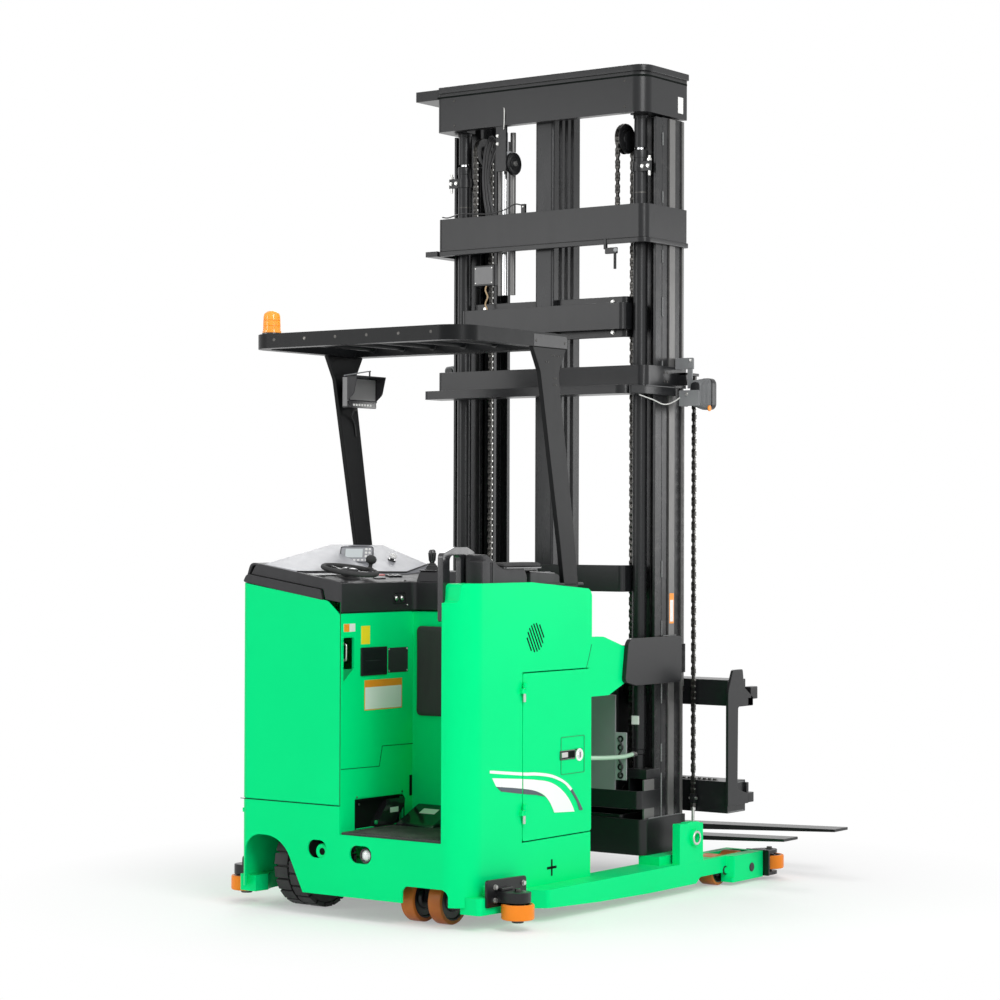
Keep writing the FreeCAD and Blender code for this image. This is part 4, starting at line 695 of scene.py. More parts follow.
def make_drive_tyre():
    centre, size = middle_of("drive_wheel")
    radius, width, detail = size[2] / 2, size[1], settings().detail
    lug = detail.lug_height * 1000
    tyre = Piece("drive_tyre")
    half, base = width / 2, radius - lug
    tyre.lathe("y", centre, [(-half + 6, 92), (-half + 1, 100), (-half, radius * 0.74),
        (-half + 3, base - 8), (-half + 10, base), (half - 10, base), (half - 3, base - 8),
        (half, radius * 0.74), (half - 1, 100), (half - 6, 92), (-half + 6, 92)], "tyre_rubber",
        72)
    block = Piece("lug")
    arc = tau * base / detail.tread_lugs
    outline = rect(-half, -4, -arc * 0.44, arc * 0.44, 4)
    block.prism("xy", outline, (base - 4.5, base - 0.2 + lug), "tyre_rubber", 1.6, steps=3)
    turns = []
    for row in (0, 1):
        for step in range(detail.tread_lugs):
            turn = tau * (step + 0.5 * row) / detail.tread_lugs
            turns.append(Matrix.Translation(centre) @ Matrix.Rotation(turn, 4, "Y")
                @ Matrix.Rotation(pi * row, 4, "Z") @ Matrix.Rotation(pi / 2, 4, "Z"))
    tyre.copies(block, turns)
    tyre.lathe("y", centre, [(-half + 7, 94), (-half + 6, 84), (-half + 26, 76), (-half + 30, 40),
        (-half + 22, 34), (-half + 22, 16), (half - 22, 16), (half - 22, 34), (half - 30, 40),
        (half - 26, 76), (half - 6, 84), (half - 7, 94), (-half + 7, 94)], BLACK, 56)
    for side in (-1, 1):
        for step in range(6):
            turn = tau * step / 6
            tyre.bolt("y", (centre[0] + 56 * cos(turn), centre[1] + side * (half - 28.5),
                centre[2] + 56 * sin(turn)), 8, side)
    tyre.done("drive_wheel", ["drive_wheel"])


def make_caster():
    centre, size = middle_of("caster_wheels")
    radius = size[2] / 2
    pair = Piece("caster_treads")
    for side in (-1, 1):
        tread_wheel(pair, "y", (centre[0], centre[1] + side * (size[1] / 2 - 30), centre[2]),
            radius, 60, 15, "tread_worn")
    pair.done("caster_wheels", ["caster_wheels"])


def make_leg_wheel(place):
    name = "load_wheel_" + place
    centre, size = middle_of(name)
    wheel = Piece("leg_wheel_" + place)
    tread_wheel(wheel, "y", centre, size[2] / 2, size[1] - 2, 14, "tread_worn")
    wheel.done(name, [name])


def make_side_roller(place):
    name = "guide_roller_" + place
    centre, size = middle_of(name)
    wheel = Piece("side_roller_" + place)
    tread_wheel(wheel, "z", centre, size[0] / 2, size[2] - 2, 14, "tread_orange")
    wheel.lathe("z", centre, [(-29, 13), (-29, 24), (-31, 26), (-33, 24), (-33, 13), (-29, 13)],
        BLACK)
    wheel.done(name, [name])


def make_wheels():
    make_drive_tyre()
    make_caster()
    for place in ("rear_right", "front_right", "rear_left", "front_left"):
        make_leg_wheel(place)
        make_side_roller(place)


class TRUCK_OT_wheels(bpy.types.Operator):
    """Turns the drive tyre, the twin caster, the leg wheels and the guide rollers"""
    bl_idname = "truck.wheels"
    bl_label = "Wheels and rollers"

    def execute(self, context):
        make_wheels()
        return {"FINISHED"}


def flat_label(piece, middle, size, place, name, corner=2.0, thick=0.7):
    """A thin sticker or plate lying on a face that looks to the right."""
    (a, b), (wide, tall) = middle, size
    outline = rect(a - wide / 2, a + wide / 2, b - tall / 2, b + tall / 2, corner)
    piece.prism("xz", outline, (place + 0.4, place - thick), name, 0.2, segments=1)


def add_buttons(band):
    """The two buttons in their frame on the hood's skirt."""
    frame = rect(318, 398, 1203, 1246, 5)
    inner = rect(321, 395, 1206, 1243, 4)
    band.prism("xz", frame, (37.6, 40), GLOSS, 0.6, holes=[inner])
    for x in (337, 372):
        band.lathe("y", (x, 39.5, 1224), [(0.5, 14), (-2.5, 14), (-3.5, 12.5), (-3.5, 10),
            (1, 9.5)], GLOSS, 28)
        band.lathe("y", (x, 39.5, 1224), [(0, 9), (-5, 9), (-8, 6.5), (-9, 3.5), (-9.3, 0)], ZINC,
            28)
    band.screw("y", (412, 39.5, 1196), 4, -1)


def make_tail_lamps():
    """The tow eye and the tail lamp set in the two oval openings."""
    tow = Piece("tow_eye")
    tow.lathe("x", (0, 141, 250), [(34, 14), (12, 14), (9, 19), (9, 27), (12, 30), (34, 30),
        (34, 14)], "green_paint", 32)
    # a near-black disc in the tow eye's hole is painted shade
    tow.rod("x", (141, 250), (13, 40), 14, GAP_SHADOW, 0)
    tow.done("chassis")
    lamp = Piece("tail_lamp")
    lamp.lathe("x", (0, -75, 250), [(34, 30), (14, 30), (11, 27), (11, 24), (15, 22), (34, 21)],
        GLOSS, 36)
    lamp.lathe("x", (0, -75, 250), [(30, 22), (17, 22), (12, 18), (9, 10), (8, 0)], "lamp_lens",
        36)
    for step in range(5):
        z = 237 + 6.5 * step
        lamp.box((8.6, 12), (-90, -60), (z - 0.5, z + 0.5), ZINC, 0)
    lamp.done("chassis")


def make_cover_trim():
    hood = Piece("hood")
    hood.prism("yz", [(46, 1170), (46, 1288, 20), (520, 1365, 25), (547, 1285), (535, 1285),
        (508, 1353, 14), (58, 1276, 9), (58, 1170)], (16, 828), HOOD, 4, steps=8, segments=3)
    hood.box((469, 828), (-524, 58), (1276, 1288), HOOD, 4)
    hood.prism("xy", [(3, 40), (451, 40, 24), (451, -442), (460, -442), (460, 49), (3, 49)],
        (1176, 1287), HOOD, 2.5, steps=8)
    hood.prism("yz", [(544, 1287, 10), (526, 1318, 14), (146, 1262, 6), (136, 1222, 3),
        (110, 1217)], (0.8, 16), HOOD, 3)
    hood.prism("yz", [(510, 1316), (480, 1361, 22), (48, 1292, 5), (48, 1212), (128, 1222),
        (140, 1262)], (8, 24), HOOD, 4, steps=8)
    hood.tube([(2.8, 508, 1312.5), (2.8, 300, 1283), (2.8, 148, 1259.5)], 1.8, GLOSS, 8)
    hood.done("chassis", ["top_hood"])
    band = Piece("hood_buttons")
    add_buttons(band)
    band.done("chassis")
    # the rear cover's seams are painted shade: near-black strips and a dark green line
    seam_shades = Piece("cover_seam_shades")
    seam_shades.box((-0.6, 2), (46, 552), (430.2, 432.8), GAP_SHADOW, 0)
    seam_shades.box((0.6, 4), (45.4, 46.6), (433, 1216), "seam_shade_green", 0)
    seam_shades.box((60, 838), (553.5, 555.6), (430.2, 432.8), GAP_SHADOW, 0)
    seam_shades.done("chassis")
    make_tail_lamps()


class TRUCK_OT_cover_trim(bpy.types.Operator):
    """Adds the seams as strips of painted shade, the stepped hood trims and lamp openings of the
    rear face
    """
    bl_idname = "truck.cover_trim"
    bl_label = "Rear cover trim"

    def execute(self, context):
        make_cover_trim()
        return {"FINISHED"}


def make_step_in():
    wall = Piece("step_in_plates")
    place = 46.0
    flat_label(wall, (57, 1115), (70, 31), place, "label_white")
    flat_label(wall, (39, 1115), (33, 30), place - 0.6, "label_orange")
    flat_label(wall, (156, 1084), (54, 71), place, "label_yellow")
    wall.prism("xz", rect(124, 287, 925, 1036, 5), (place - 5, place + 1), GLOSS, 1.5)
    wall.prism("xz", rect(132, 279, 934, 1029, 3), (place - 5.8, place - 4), "screen_dark", 0.4)
    wall.box((148, 238), (place - 6.3, place - 5.4), (983, 984.5), "label_dark", 0)
    flat_label(wall, (360, 980), (125, 98), place, "label_dark", 3, 1.2)
    for x in (303, 417):
        for z in (937, 1023):
            wall.screw("y", (x, place - 1.2, z), 4, -1)
    flat_label(wall, (268, 849), (236, 118), place, "label_orange", 3)
    flat_label(wall, (268, 837), (228, 86), place - 0.7, "label_white", 1, 0.4)
    wall.done("chassis")
    pull = Piece("recess_pull")
    pull.tube(smooth_path([(44, 66, 1052), (44, 54, 1050), (44, 51, 1040), (43, 51, 1000),
        (44, 54, 990), (44, 66, 988)]), 4.2, ZINC, 12)
    for z in (1052, 988):
        pull.lathe("y", (44, 66, z), [(0, 9), (4, 9), (5, 7), (5, 0)], ZINC, 20)
    pull.done("chassis")
    # the wall's seam lines and the small opening beside them are near-black painted shade
    seams = Piece("wall_seams")
    line = [(9, 572), (244, 568), (263, 646), (456, 643)]
    for (xa, za), (xb, zb) in zip(line, line[1:]):
        seams.tube([(xa, 45.6, za), ((xa + xb) / 2, 45.6, (za + zb) / 2), (xb, 45.6, zb)], 1.3,
            GAP_SHADOW, 6)
    seams.box((436, 453), (44.6, 47), (437, 519), GAP_SHADOW, 1)
    for x in (106, 390):
        seams.screw("y", (x, 45.6, 458), 4, -1, CHAIN)
    seams.done("chassis")
    lip = Piece("recess_lip")
    lip.prism("xz", [(16, 1080, 4), (86, 1080, 12), (86, 957, 4), (22, 905, 6), (16, 905)],
        (43.5, 46.4), "green_paint", 1.2, holes=[[(19, 1077, 3), (83, 1077, 10), (83, 958, 3),
        (24, 910, 4), (19, 908)]])
    # the lower floor of the recess in shaded green is painted shade
    lip.prism("xz", [(19.5, 955), (82.5, 955), (24, 911, 4), (19.5, 909)], (45, 47), "shaded_green",
        0.6)
    lip.done("chassis")


class TRUCK_OT_step_in(bpy.types.Operator):
    """Fits the plates, recess handle and seams of the step-in's inner wall"""
    bl_idname = "truck.step_in"
    bl_label = "Step-in wall"

    def execute(self, context):
        make_step_in()
        return {"FINISHED"}


def bend(points):
    """An outline eased through its points."""
    return [tuple(one)[:2] for one in smooth_path([(x, z, 0) for x, z in points], 4)]


def upper_stripe():
    """The outline of the upper stripe, the same on both sides."""
    return bend([(155, 592), (367, 569), (451, 563), (545, 550), (613, 531), (668, 506),
        (701, 481)]) + bend([(690, 474), (655, 500), (613, 519), (545, 538), (451, 551),
        (367, 557), (155, 581)])


def clipped(outline, low, high):
    """The part of an outline between two places ahead of the rear face."""
    for edge, keep in ((low, 1), (high, -1)):
        result = []
        for here, after in zip(outline, outline[1:] + outline[:1]):
            inside = (here[0] - edge) * keep >= 0
            if inside:
                result.append(here)
            if inside != ((after[0] - edge) * keep >= 0):
                share = (edge - here[0]) / (after[0] - here[0])
                result.append((edge, here[1] + share * (after[1] - here[1])))
        outline = result
    return outline


def add_stripe(piece, face, low, high):
    """The light stripes with their dark edge, between two places."""
    middle = bend([(170, 562), (367, 544), (464, 533), (545, 519), (613, 492), (668, 453),
        (703, 414), (717, 390)]) + bend([(579, 398), (565, 419), (545, 444), (511, 470),
        (451, 492), (345, 510), (196, 528)])
    edge = bend([(196, 528), (345, 510), (451, 492), (518, 464)]) + bend([(458, 476), (367, 487),
        (228, 507)])
    wedge = bend([(701, 481), (740, 440), (777, 392)]) + bend([(752, 392), (733, 428), (706, 458),
        (690, 474)])
    for outline, name in ((upper_stripe(), "stripe_white"), (middle, "stripe_white"),
            (edge, "stripe_navy"), (wedge, "stripe_navy")):
        outline = clipped(outline, low, high)
        if len(outline) > 2:
            piece.prism("xz", outline, (face + 0.6, face - 0.45), name, 0)


def add_latch(latch, face):
    """The door's flush latch and its round lock."""
    outer = rect(624, 787, 540, 687, 8)
    inner = rect(626.5, 784.5, 542.5, 684.5, 7)
    # a shaded-green ring, painted shade, marks the seam round the latch plate
    latch.prism("xz", outer, (face - 1.2, face + 1), "shaded_green", 0.3, holes=[inner])
    latch.prism("xz", rect(616, 722, 597, 634, 6), (face - 2.5, face + 1), GLOSS, 1.2,
        holes=[rect(622, 716, 602, 629, 4)])
    # a near-black sheet is the painted shade inside the handle's recess
    latch.box((622, 716), (face + 0.4, face + 4), (602, 629), GAP_SHADOW, 0)
    latch.prism("xz", rect(630, 672, 606, 626, 3), (face - 1.0, face + 2), ZINC, 1)
    latch.lathe("y", (752, face, 611), [(1, 25), (-1.5, 25), (-2.5, 23.5), (-2.5, 19), (-0.5, 18),
        (-0.5, 14)], "stripe_white", 36)
    latch.lathe("y", (752, face, 611), [(1, 19), (-1.5, 16), (-3.5, 14), (-3.8, 0)], "chrome_rod",
        32)
    # a near-black keyhole is painted shade
    latch.box((749.5, 754.5), (face - 4.4, face - 3), (600, 622), GAP_SHADOW, 0.5)


def make_side_trim():
    face = -556.0
    body = Piece("side_stripe_rear")
    add_stripe(body, face, 0, 364)
    body.done("chassis")
    door = Piece("side_stripe_door")
    add_stripe(door, limits("battery_door")[0][1] + 17.2, 370.5, 840)
    door.done("battery_door")
    latch = Piece("door_latch")
    add_latch(latch, -556.2)
    latch.done("battery_door")
    trim = Piece("side_trim")
    # the vent slots are near-black painted shade
    for row in range(-3, 4):
        off = 16 * row
        half = sqrt(58 ** 2 - off ** 2) - 3
        x, z = 450 + 0.866 * off, 1081 + 0.5 * off
        trim.prism("xz", [(x + a * half * 0.5 + b * 2.6, z - a * half * 0.866 + b * 1.5, 2)
            for a, b in rect(-1, 1, -1, 1)], (face - 0.5, face + 1), GAP_SHADOW, 0.2, steps=3)
    for z in (405, 870):
        trim.lathe("z", (366, -563, 0), [(z - 32, 0), (z - 32, 6), (z - 31, 7), (z, 7), (z, 0)],
            ZINC, 20)
        door_half = Piece("door_hinge_%d" % z)
        door_half.lathe("z", (366, -563, 0), [(z + 1, 0), (z + 1, 7), (z + 31, 7), (z + 32, 6),
            (z + 32, 0)], ZINC, 20)
        door_half.done("battery_door")
    # a dark green seam line and two near-black slots are painted shade
    trim.tube([(837, -555.6, 1042), (819, -555.6, 993), (801, -555.6, 951)], 1.2, "seam_shade_green", 6)
    trim.box((533, 597), (-556.3, -554), (181, 191), GAP_SHADOW, 2)
    trim.box((560, 570), (-556.3, -554), (154, 218), GAP_SHADOW, 2)
    trim.done("chassis")


class TRUCK_OT_side_trim(bpy.types.Operator):
    """Adds the stripes, latch, hinges, vents and slots of the right side"""
    bl_idname = "truck.side_trim"
    bl_label = "Right side trim"

    def execute(self, context):
        make_side_trim()
        return {"FINISHED"}


def add_rear_mount(pack, side, size):
    """A plate bolted to the leg, with a short arm over the roller."""
    out = lambda depth: side * (596 + depth)
    pack.prism("xz", [(72, 88, 9), (324, 88, 9), (324, 186, 14), (72, 192, 14)],
        (out(-1), out(10)), BLACK, 1.6)
    for x, z in ((122, 162), (122, 113), (303, 160)):
        pack.bolt("y", (x, out(10), z), size, side)
    pack.box((140, 212), (out(4), out(30)), (146, 158), BLACK, 3)
    arm = [(128, out(6)), (224, out(6)), (224, side * 719, 47), (128, side * 719, 47)]
    pack.prism("xy", arm, (105, 146), BLACK, 3, steps=9)
    pack.lathe("z", (176, side * 672, 0), [(145, 17), (148, 17), (148, 12), (157, 11), (158, 0)],
        CHAIN, 6)
    pack.lathe("z", (176, side * 672, 0), [(30, 0), (30, 21), (32, 23), (38, 23), (38, 12),
        (106, 12), (106, 0)], CHAIN, 28)


def add_front_mount(pack, side, size):
    """A forked bracket at the leg's tip that holds the roller above and below."""
    near, far = side * 600, side * 716
    pack.prism("yz", [(near, 18, 5), (far, 18, 5), (far, 128, 8), (near, 128, 8)], (1959, 1970),
        BLACK, 1.6)
    for low, high in ((109, 124), (18, 32)):
        pack.prism("xy", [(1968, near), (1968, side * 708, 4), (2040, side * 712, 30),
            (2074, side * 690, 30), (2074, side * 650, 30), (2030, side * 612, 20)], (low, high),
            BLACK, 2)
    pack.rod("z", (2040, side * 672), (22, 120), 12, CHAIN)
    pack.lathe("z", (2040, side * 672, 0), [(122, 17), (126, 17), (126, 12), (134, 11), (134, 0)],
        CHAIN, 6)
    for y, z in ((702, 92), (702, 52), (618, 72)):
        pack.bolt("x", (1970, side * y, z), size * 0.7, 1)


def add_leg(leg, side, size):
    """A green plate round the lug, the lug's silver bush and caps over the wheel pins."""
    lug, bore = 1451, 226
    ring = [(lug + 21 * cos(tau * k / 32), bore + 21 * sin(tau * k / 32)) for k in range(32)]
    leg.prism("xz", [(1340, 122), (1340, 290, 3), (1522, 283, 3), (1523, 122)],
        (side * 620, side * 655.6), "green_paint", 1.6, holes=[ring])
    leg.lathe("y", (lug, side * 667, bore), [(-side * 12, 20.4), (side * 4, 20.4), (side * 5, 22),
        (side * 5, 28), (side * 3, 30), (-side * 12, 30), (-side * 12, 20.4)], ZINC, 36)
    for x, face in ((1700, 655), (1860, 690)):
        leg.lathe("y", (x, side * face, 65), [(-side, 19), (side * 2, 19), (side * 3, 17),
            (side * 3, 6), (side * 2, 0)], BLACK, 28)


def make_leg_trim():
    size = settings().detail.bolt_size * 1000
    mounts = Piece("roller_mounts")
    for side, name in ((-1, "right"), (1, "left")):
        add_rear_mount(mounts, side, size)
        add_front_mount(mounts, side, size)
        leg = Piece("leg_details_" + name)
        add_leg(leg, side, size)
        leg.done("chassis")
    mounts.done("chassis", ["roller_brackets"])


class TRUCK_OT_leg_trim(bpy.types.Operator):
    """Makes the roller mounts and finishes the legs, lugs and wheel pins"""
    bl_idname = "truck.leg_trim"
    bl_label = "Leg fittings"

    def execute(self, context):
        make_leg_trim()
        return {"FINISHED"}


def cushion(name, plane, outline, reach, node, cap):
    """A foam pad: a block that a short cloth run swells, as far as cap, in metres."""
    pad = Piece(name)
    pad.prism(plane, outline, reach, FOAM, 6, segments=3)
    item = pad.done("chassis", [node])
    remesh = item.modifiers.new("even mesh", "REMESH")
    remesh.mode, remesh.voxel_size = "VOXEL", 0.005
    apply_modifiers(item)
    before = [one.co.copy() for one in item.data.vertices]
    cloth = item.modifiers.new("swelling", "CLOTH")
    cloth.settings.use_pressure = True
    cloth.settings.uniform_pressure_force = 4.0
    cloth.settings.effector_weights.gravity = 0.0
    cloth.settings.quality = 5
    for frame in range(1, 21):
        bpy.context.scene.frame_set(frame)
    apply_modifiers(item)
    bpy.context.scene.frame_set(1)
    (low, high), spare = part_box(node), 0.004
    for vertex, start in zip(item.data.vertices, before):
        move = vertex.co - start
        if move.length > cap:
            move = move.normalized() * cap
        vertex.co = start + move
        for axis in range(3):
            vertex.co[axis] = min(max(vertex.co[axis], low[axis] - spare), high[axis] + spare)
    smoother = item.modifiers.new("soft shape", "SMOOTH")
    smoother.factor, smoother.iterations = 0.5, 6
    finer = item.modifiers.new("fine shape", "SUBSURF")
    finer.levels = finer.render_levels = 1
    apply_modifiers(item)
    item.data.materials.clear()
    item.data.materials.append(FINISHES[FOAM])
    item.data.shade_smooth()


def apply_modifiers(item):
    """Turns what the modifiers make into the piece's own mesh."""
    graph = bpy.context.evaluated_depsgraph_get()
    data = bpy.data.meshes.new_from_object(item.evaluated_get(graph))
    item.modifiers.clear()
    item.data = data


DECK_SLOPE = 0.1688


def deck(side):
    """Height of the sloping hood deck at a distance left of the centre plane."""
    return 1288.0 + DECK_SLOPE * (side - 46.0)


def make_display():
    """The driver's display: a rounded pod that faces the step-in."""
    pod = Piece("display")
    wide, tall = 68, 54
    pod.prism("xy", rect(-wide, wide, -tall, tall, 13), (-46, 3), "console_grey", 2.5, steps=6)
    ring = rect(-wide + 1, wide - 1, -tall + 1, tall - 1, 12)
    inner = rect(-wide + 4, wide - 4, -tall + 4, tall - 4, 10)
    pod.prism("xy", ring, (2, 5.5), "label_dark", 0.8, holes=[inner])
    pod.prism("xy", rect(-50, 28, -24, 42, 3), (2, 3.8), "label_grey", 0.5)
    pod.prism("xy", rect(-46, 24, -20, 38, 1), (2, 4.3), "screen_light", 0.2)
    for column in range(2):
        for row in range(3):
            x, y = 38 + 14 * column, 36 - 24 * row
            pod.prism("xy", rect(x - 5, x + 5, y - 7, y + 7, 3.5), (2, 5), "key_white", 0.8,
                steps=3)
    for x in range(-40, 41, 16):
        pod.prism("xy", rect(x - 5, x + 5, -43, -33, 3), (2, 5), "key_white", 0.8, steps=3)
    yaw = atan2(0.5872, 0.8094)
    turn = Matrix.Rotation(yaw - pi / 2, 4, "Z") @ Matrix.Rotation(radians(36), 4, "X")
    pod.move(Matrix.Translation((474, 351, 1390)) @ turn)
    pod.done("chassis")


def make_switches():
    """The console's knob and the switches let into the deck."""
    knob = Piece("console_knob")
    knob.lathe("z", (0, 0, 0), [(-3, 17), (2, 17), (4, 15), (4, 9), (12, 8), (12, 0)], GLOSS, 32)
    knob.lathe("z", (0, 0, 0), [(10, 0), (10, 12), (12, 15), (17, 16), (22, 14), (26, 9),
        (27.5, 0)], "key_white", 36)
    lean = Vector((-0.03, -0.387, 0.921)).to_track_quat("Z", "Y").to_matrix().to_4x4()
    knob.move(Matrix.Translation((668, 322, 1369)) @ lean)
    knob.done("chassis")
    keys = Piece("deck_switches")
    slope = Matrix.Rotation(atan(DECK_SLOPE), 3, "X")
    for x, y, wide, deep, tall, name in ((330, 118, 58, 20, 5, GLOSS),
            (432, 190, 34, 12, 3, "red_plastic"), (436, 152, 20, 26, 7, GLOSS),
            (466, 152, 20, 26, 7, GLOSS), (496, 152, 20, 26, 7, GLOSS), (330, 118, 40, 10, 6.4,
            "label_grey"), (100, 215, 150, 40, 3, GLOSS), (250, 232, 60, 24, 3.5, "label_dark")):
        keys.box((x - wide / 2, x + wide / 2), (y - deep / 2, y + deep / 2),
            (deck(y) - 3, deck(y) + tall), name, 1.2, slope)
    for x in (436, 466, 496):
        keys.box((x - 3, x + 3), (156, 160), (deck(158) + 6, deck(158) + 9), "label_white", 0.4,
            slope)
    for x, y in ((24, 70), (430, 66), (24, 250), (610, 120), (780, 120)):
        keys.screw("z", (x, y, deck(y) + 0.2), 5, 1, CHAIN)
    keys.done("chassis")


def make_console():
    panel = Piece("console")
    corners = [(14, 449, 1357), (486, 496, 1434), (824, 496, 1430), (824, 256, 1352),
        (616, 206, 1322), (14, 276, 1332)]
    top = corners + [(x, y, 1300 if i in (3, 4, 5) else 1340)
        for i, (x, y, z) in enumerate(corners)]
    faces = [(0, 1, 5), (5, 1, 4), (4, 1, 2, 3)] + [(i, (i + 1) % 6, (i + 1) % 6 + 6, i + 6)
        for i in range(6)] + [(11, 10, 9, 8, 7, 6)]
    panel.facets(top, faces, "console_grey", 5, 3)
    panel.done("chassis", ["console_panel"])
    rim = Piece("console_gap")
    rim.tube([(14, 274, 1330), (315, 239, 1326), (614, 203.5, 1322)], 3, HOOD, 8)
    rim.tube([(616, 204, 1322), (720, 229, 1337), (824, 254, 1352)], 3, HOOD, 8)
    rim.done("chassis")
    make_display()
    make_switches()


class TRUCK_OT_console(bpy.types.Operator):
    """Makes the grey console with its display, knob and switches"""
    bl_idname = "truck.console"
    bl_label = "Console"

    def execute(self, context):
        make_console()
        return {"FINISHED"}


def make_steering():
    lean = atan(DECK_SLOPE)
    rise = (180.0, 150.0 - 30 * sin(lean), deck(150) + 30 * cos(lean))
    frame = Matrix.Translation(rise) @ Matrix.Rotation(lean, 4, "X")
    column = Piece("steering_boot")
    column.lathe("z", (0, 0, 0), [(-33, 44), (-29, 44), (-27, 40), (-25, 34), (-24, 30), (-22, 31),
        (-20, 28), (-18, 29), (-15, 25), (-12, 21), (-11, 12), (-11, 0)], FOAM, 40)
    column.move(frame)
    column.done("chassis", ["steering_column"])
    wheel = Piece("wheel_rim")
    ring = 106
    rim = [(ring * cos(tau * step / 96), ring * sin(tau * step / 96), 0) for step in range(96)]
    wheel.tube(rim, 9.8, FOAM, 16, True)
    for step in range(40):
        turn = tau * (step + 0.5) / 40
        wheel.lathe("z", ((ring - 1.5) * cos(turn), (ring - 1.5) * sin(turn), -4.5),
            [(-6.8, 0), (-5.6, 4), (-3, 5.6), (0, 5.6), (0, 0)], FOAM, 10)
    for turn in (90, 210, 330):
        turn = radians(turn)
        way = Vector((cos(turn), sin(turn), 0))
        path = smooth_path([way * 16 - Vector((0, 0, 4)), way * 48 - Vector((0, 0, 6)),
            way * 82 - Vector((0, 0, 3)), way * 101], 5)
        wheel.tube(path, 5.5, GLOSS, 12)
        across = Vector((-way.y, way.x, 0)) * 7
        for side in (-1, 1):
            wheel.tube([one + across * side * (1 - i / len(path) * 0.3)
                for i, one in enumerate(path)], 4.0, GLOSS, 10)
    wheel.lathe("z", (0, 0, 0), [(-9, 13), (-9, 30), (-6, 33), (2, 33), (6, 30), (9, 24),
        (10.5, 12), (11, 0)], GLOSS, 40)
    turn = radians(-8)
    place = (ring * cos(turn), ring * sin(turn), 0)
    wheel.lathe("z", place, [(4, 15), (9, 15), (11, 13), (13, 8), (22, 7), (26, 8), (29, 13),
        (33, 18), (39, 21), (46, 21.5), (53, 19), (58, 14), (61, 8), (62, 0)], FOAM, 36)
    wheel.move(frame)
    wheel.done("steering_wheel", ["steering_wheel"])


class TRUCK_OT_steering(bpy.types.Operator):
    """Makes the steering wheel with its spinner, and the column under it"""
    bl_idname = "truck.steering"
    bl_label = "Steering wheel"

    def execute(self, context):
        make_steering()
        return {"FINISHED"}


def make_joystick():
    base = Piece("joystick_base")
    base.prism("xz", [(466, 1286), (490, 1331, 14), (642, 1331, 12), (658, 1286)], (-402, 42),
        HOOD, 7, segments=3)
    base.prism("xy", rect(486, 560, -45, 45, 16), (1329, 1334), GLOSS, 2)
    base.lathe("z", (520, 0, 0), [(1332, 30), (1336, 30), (1338, 26), (1341, 24), (1343, 26),
        (1345, 23), (1348, 20), (1350, 22), (1352, 19), (1355, 15), (1358, 16), (1360, 12),
        (1362, 8), (1362, 0)], FOAM, 36)
    base.lathe("z", (520, 0, 0), [(1360, 7), (1364, 10), (1372, 12), (1384, 13), (1398, 14.5),
        (1406, 14.5), (1412, 12), (1415, 7), (1416, 0)], GLOSS, 32)
    for step in range(12):
        turn = tau * step / 12
        base.tube([(520 + r * cos(turn), r * sin(turn), z) for r, z in ((12, 1370), (13.6, 1386),
            (14.8, 1402))], 1.8, GLOSS, 6)
    base.rod("z", (596, -100), (1330, 1337), 9, GLOSS, 2)
    base.done("chassis", ["joystick"])


ARM_PAD = [(264, -543, 14), (518, -543, 18), (518, -454, 18), (264, -454, 14)]


def make_hand_controls():
    box = Piece("hand_controls")
    outline = [(134, 1286), (134, 1399, 8), (160, 1404, 10), (204, 1378, 34), (250, 1351, 34),
        (404, 1351, 12), (424, 1320, 10), (424, 1286)]
    box.prism("xz", outline, (-534, -452), HOOD, 5, segments=3)
    box.prism("xz", [(122, 1288), (122, 1376, 6), (150, 1386, 12), (178, 1372, 10), (178, 1288)],
        (-541, -470), HOOD, 4, segments=3)
    for x in (186, 196):
        box.box((x, x + 2.2), (-536.5, -533), (1292, 1372), GLOSS, 0.8)
    box.prism("xz", [(262, 1352), (290, 1338), (500, 1338), (512, 1352)], (-528, -468), GLOSS, 3)
    box.prism("xy", ARM_PAD, (1346, 1353), GLOSS, 2)
    box.prism("xz", [(462, 1285), (462, 1330, 8), (470, 1333, 4), (640, 1325, 6), (662, 1318, 8),
        (662, 1285)], (-521, -463), HOOD, 4, segments=3)
    box.prism("xz", [(470, 1330, 3), (640, 1323, 3), (640, 1328, 3), (470, 1336, 3)], (-513, -471),
        GLOSS, 1.5)
    box.lathe("z", (520, -500, 0), [(1332, 13), (1337, 13), (1339, 10), (1339, 7), (1341, 7)],
        GLOSS, 28)
    box.lathe("z", (520, -500, 0), [(1339, 0), (1339, 11), (1343, 12), (1347, 11), (1349, 7),
        (1349.5, 0)], "key_white", 28)
    box.box((580, 622), (-506, -482), (1326, 1334), "label_dark", 1.5)
    box.lathe("z", (204, -440, 0), [(1286, 16), (1300, 15), (1306, 8), (1372, 7), (1380, 11),
        (1398, 12), (1404, 9), (1406, 0)], GLOSS, 24)
    box.done("chassis", ["side_console"])


def make_controls():
    make_joystick()
    make_hand_controls()
    cushion("arm_pad", "xy", ARM_PAD, (1352, 1367), "armrest", 0.004)
    cushion("knee_cushion", "yz", rect(-391, 24, 750, 1118, 26), (441, 456), "knee_pad", 0.005)



class TRUCK_OT_controls(bpy.types.Operator):
    """Makes the joystick, the shroud, the switch box and the pads"""
    bl_idname = "truck.controls"
    bl_label = "Hand controls and pads"

    def execute(self, context):
        make_controls()
        return {"FINISHED"}


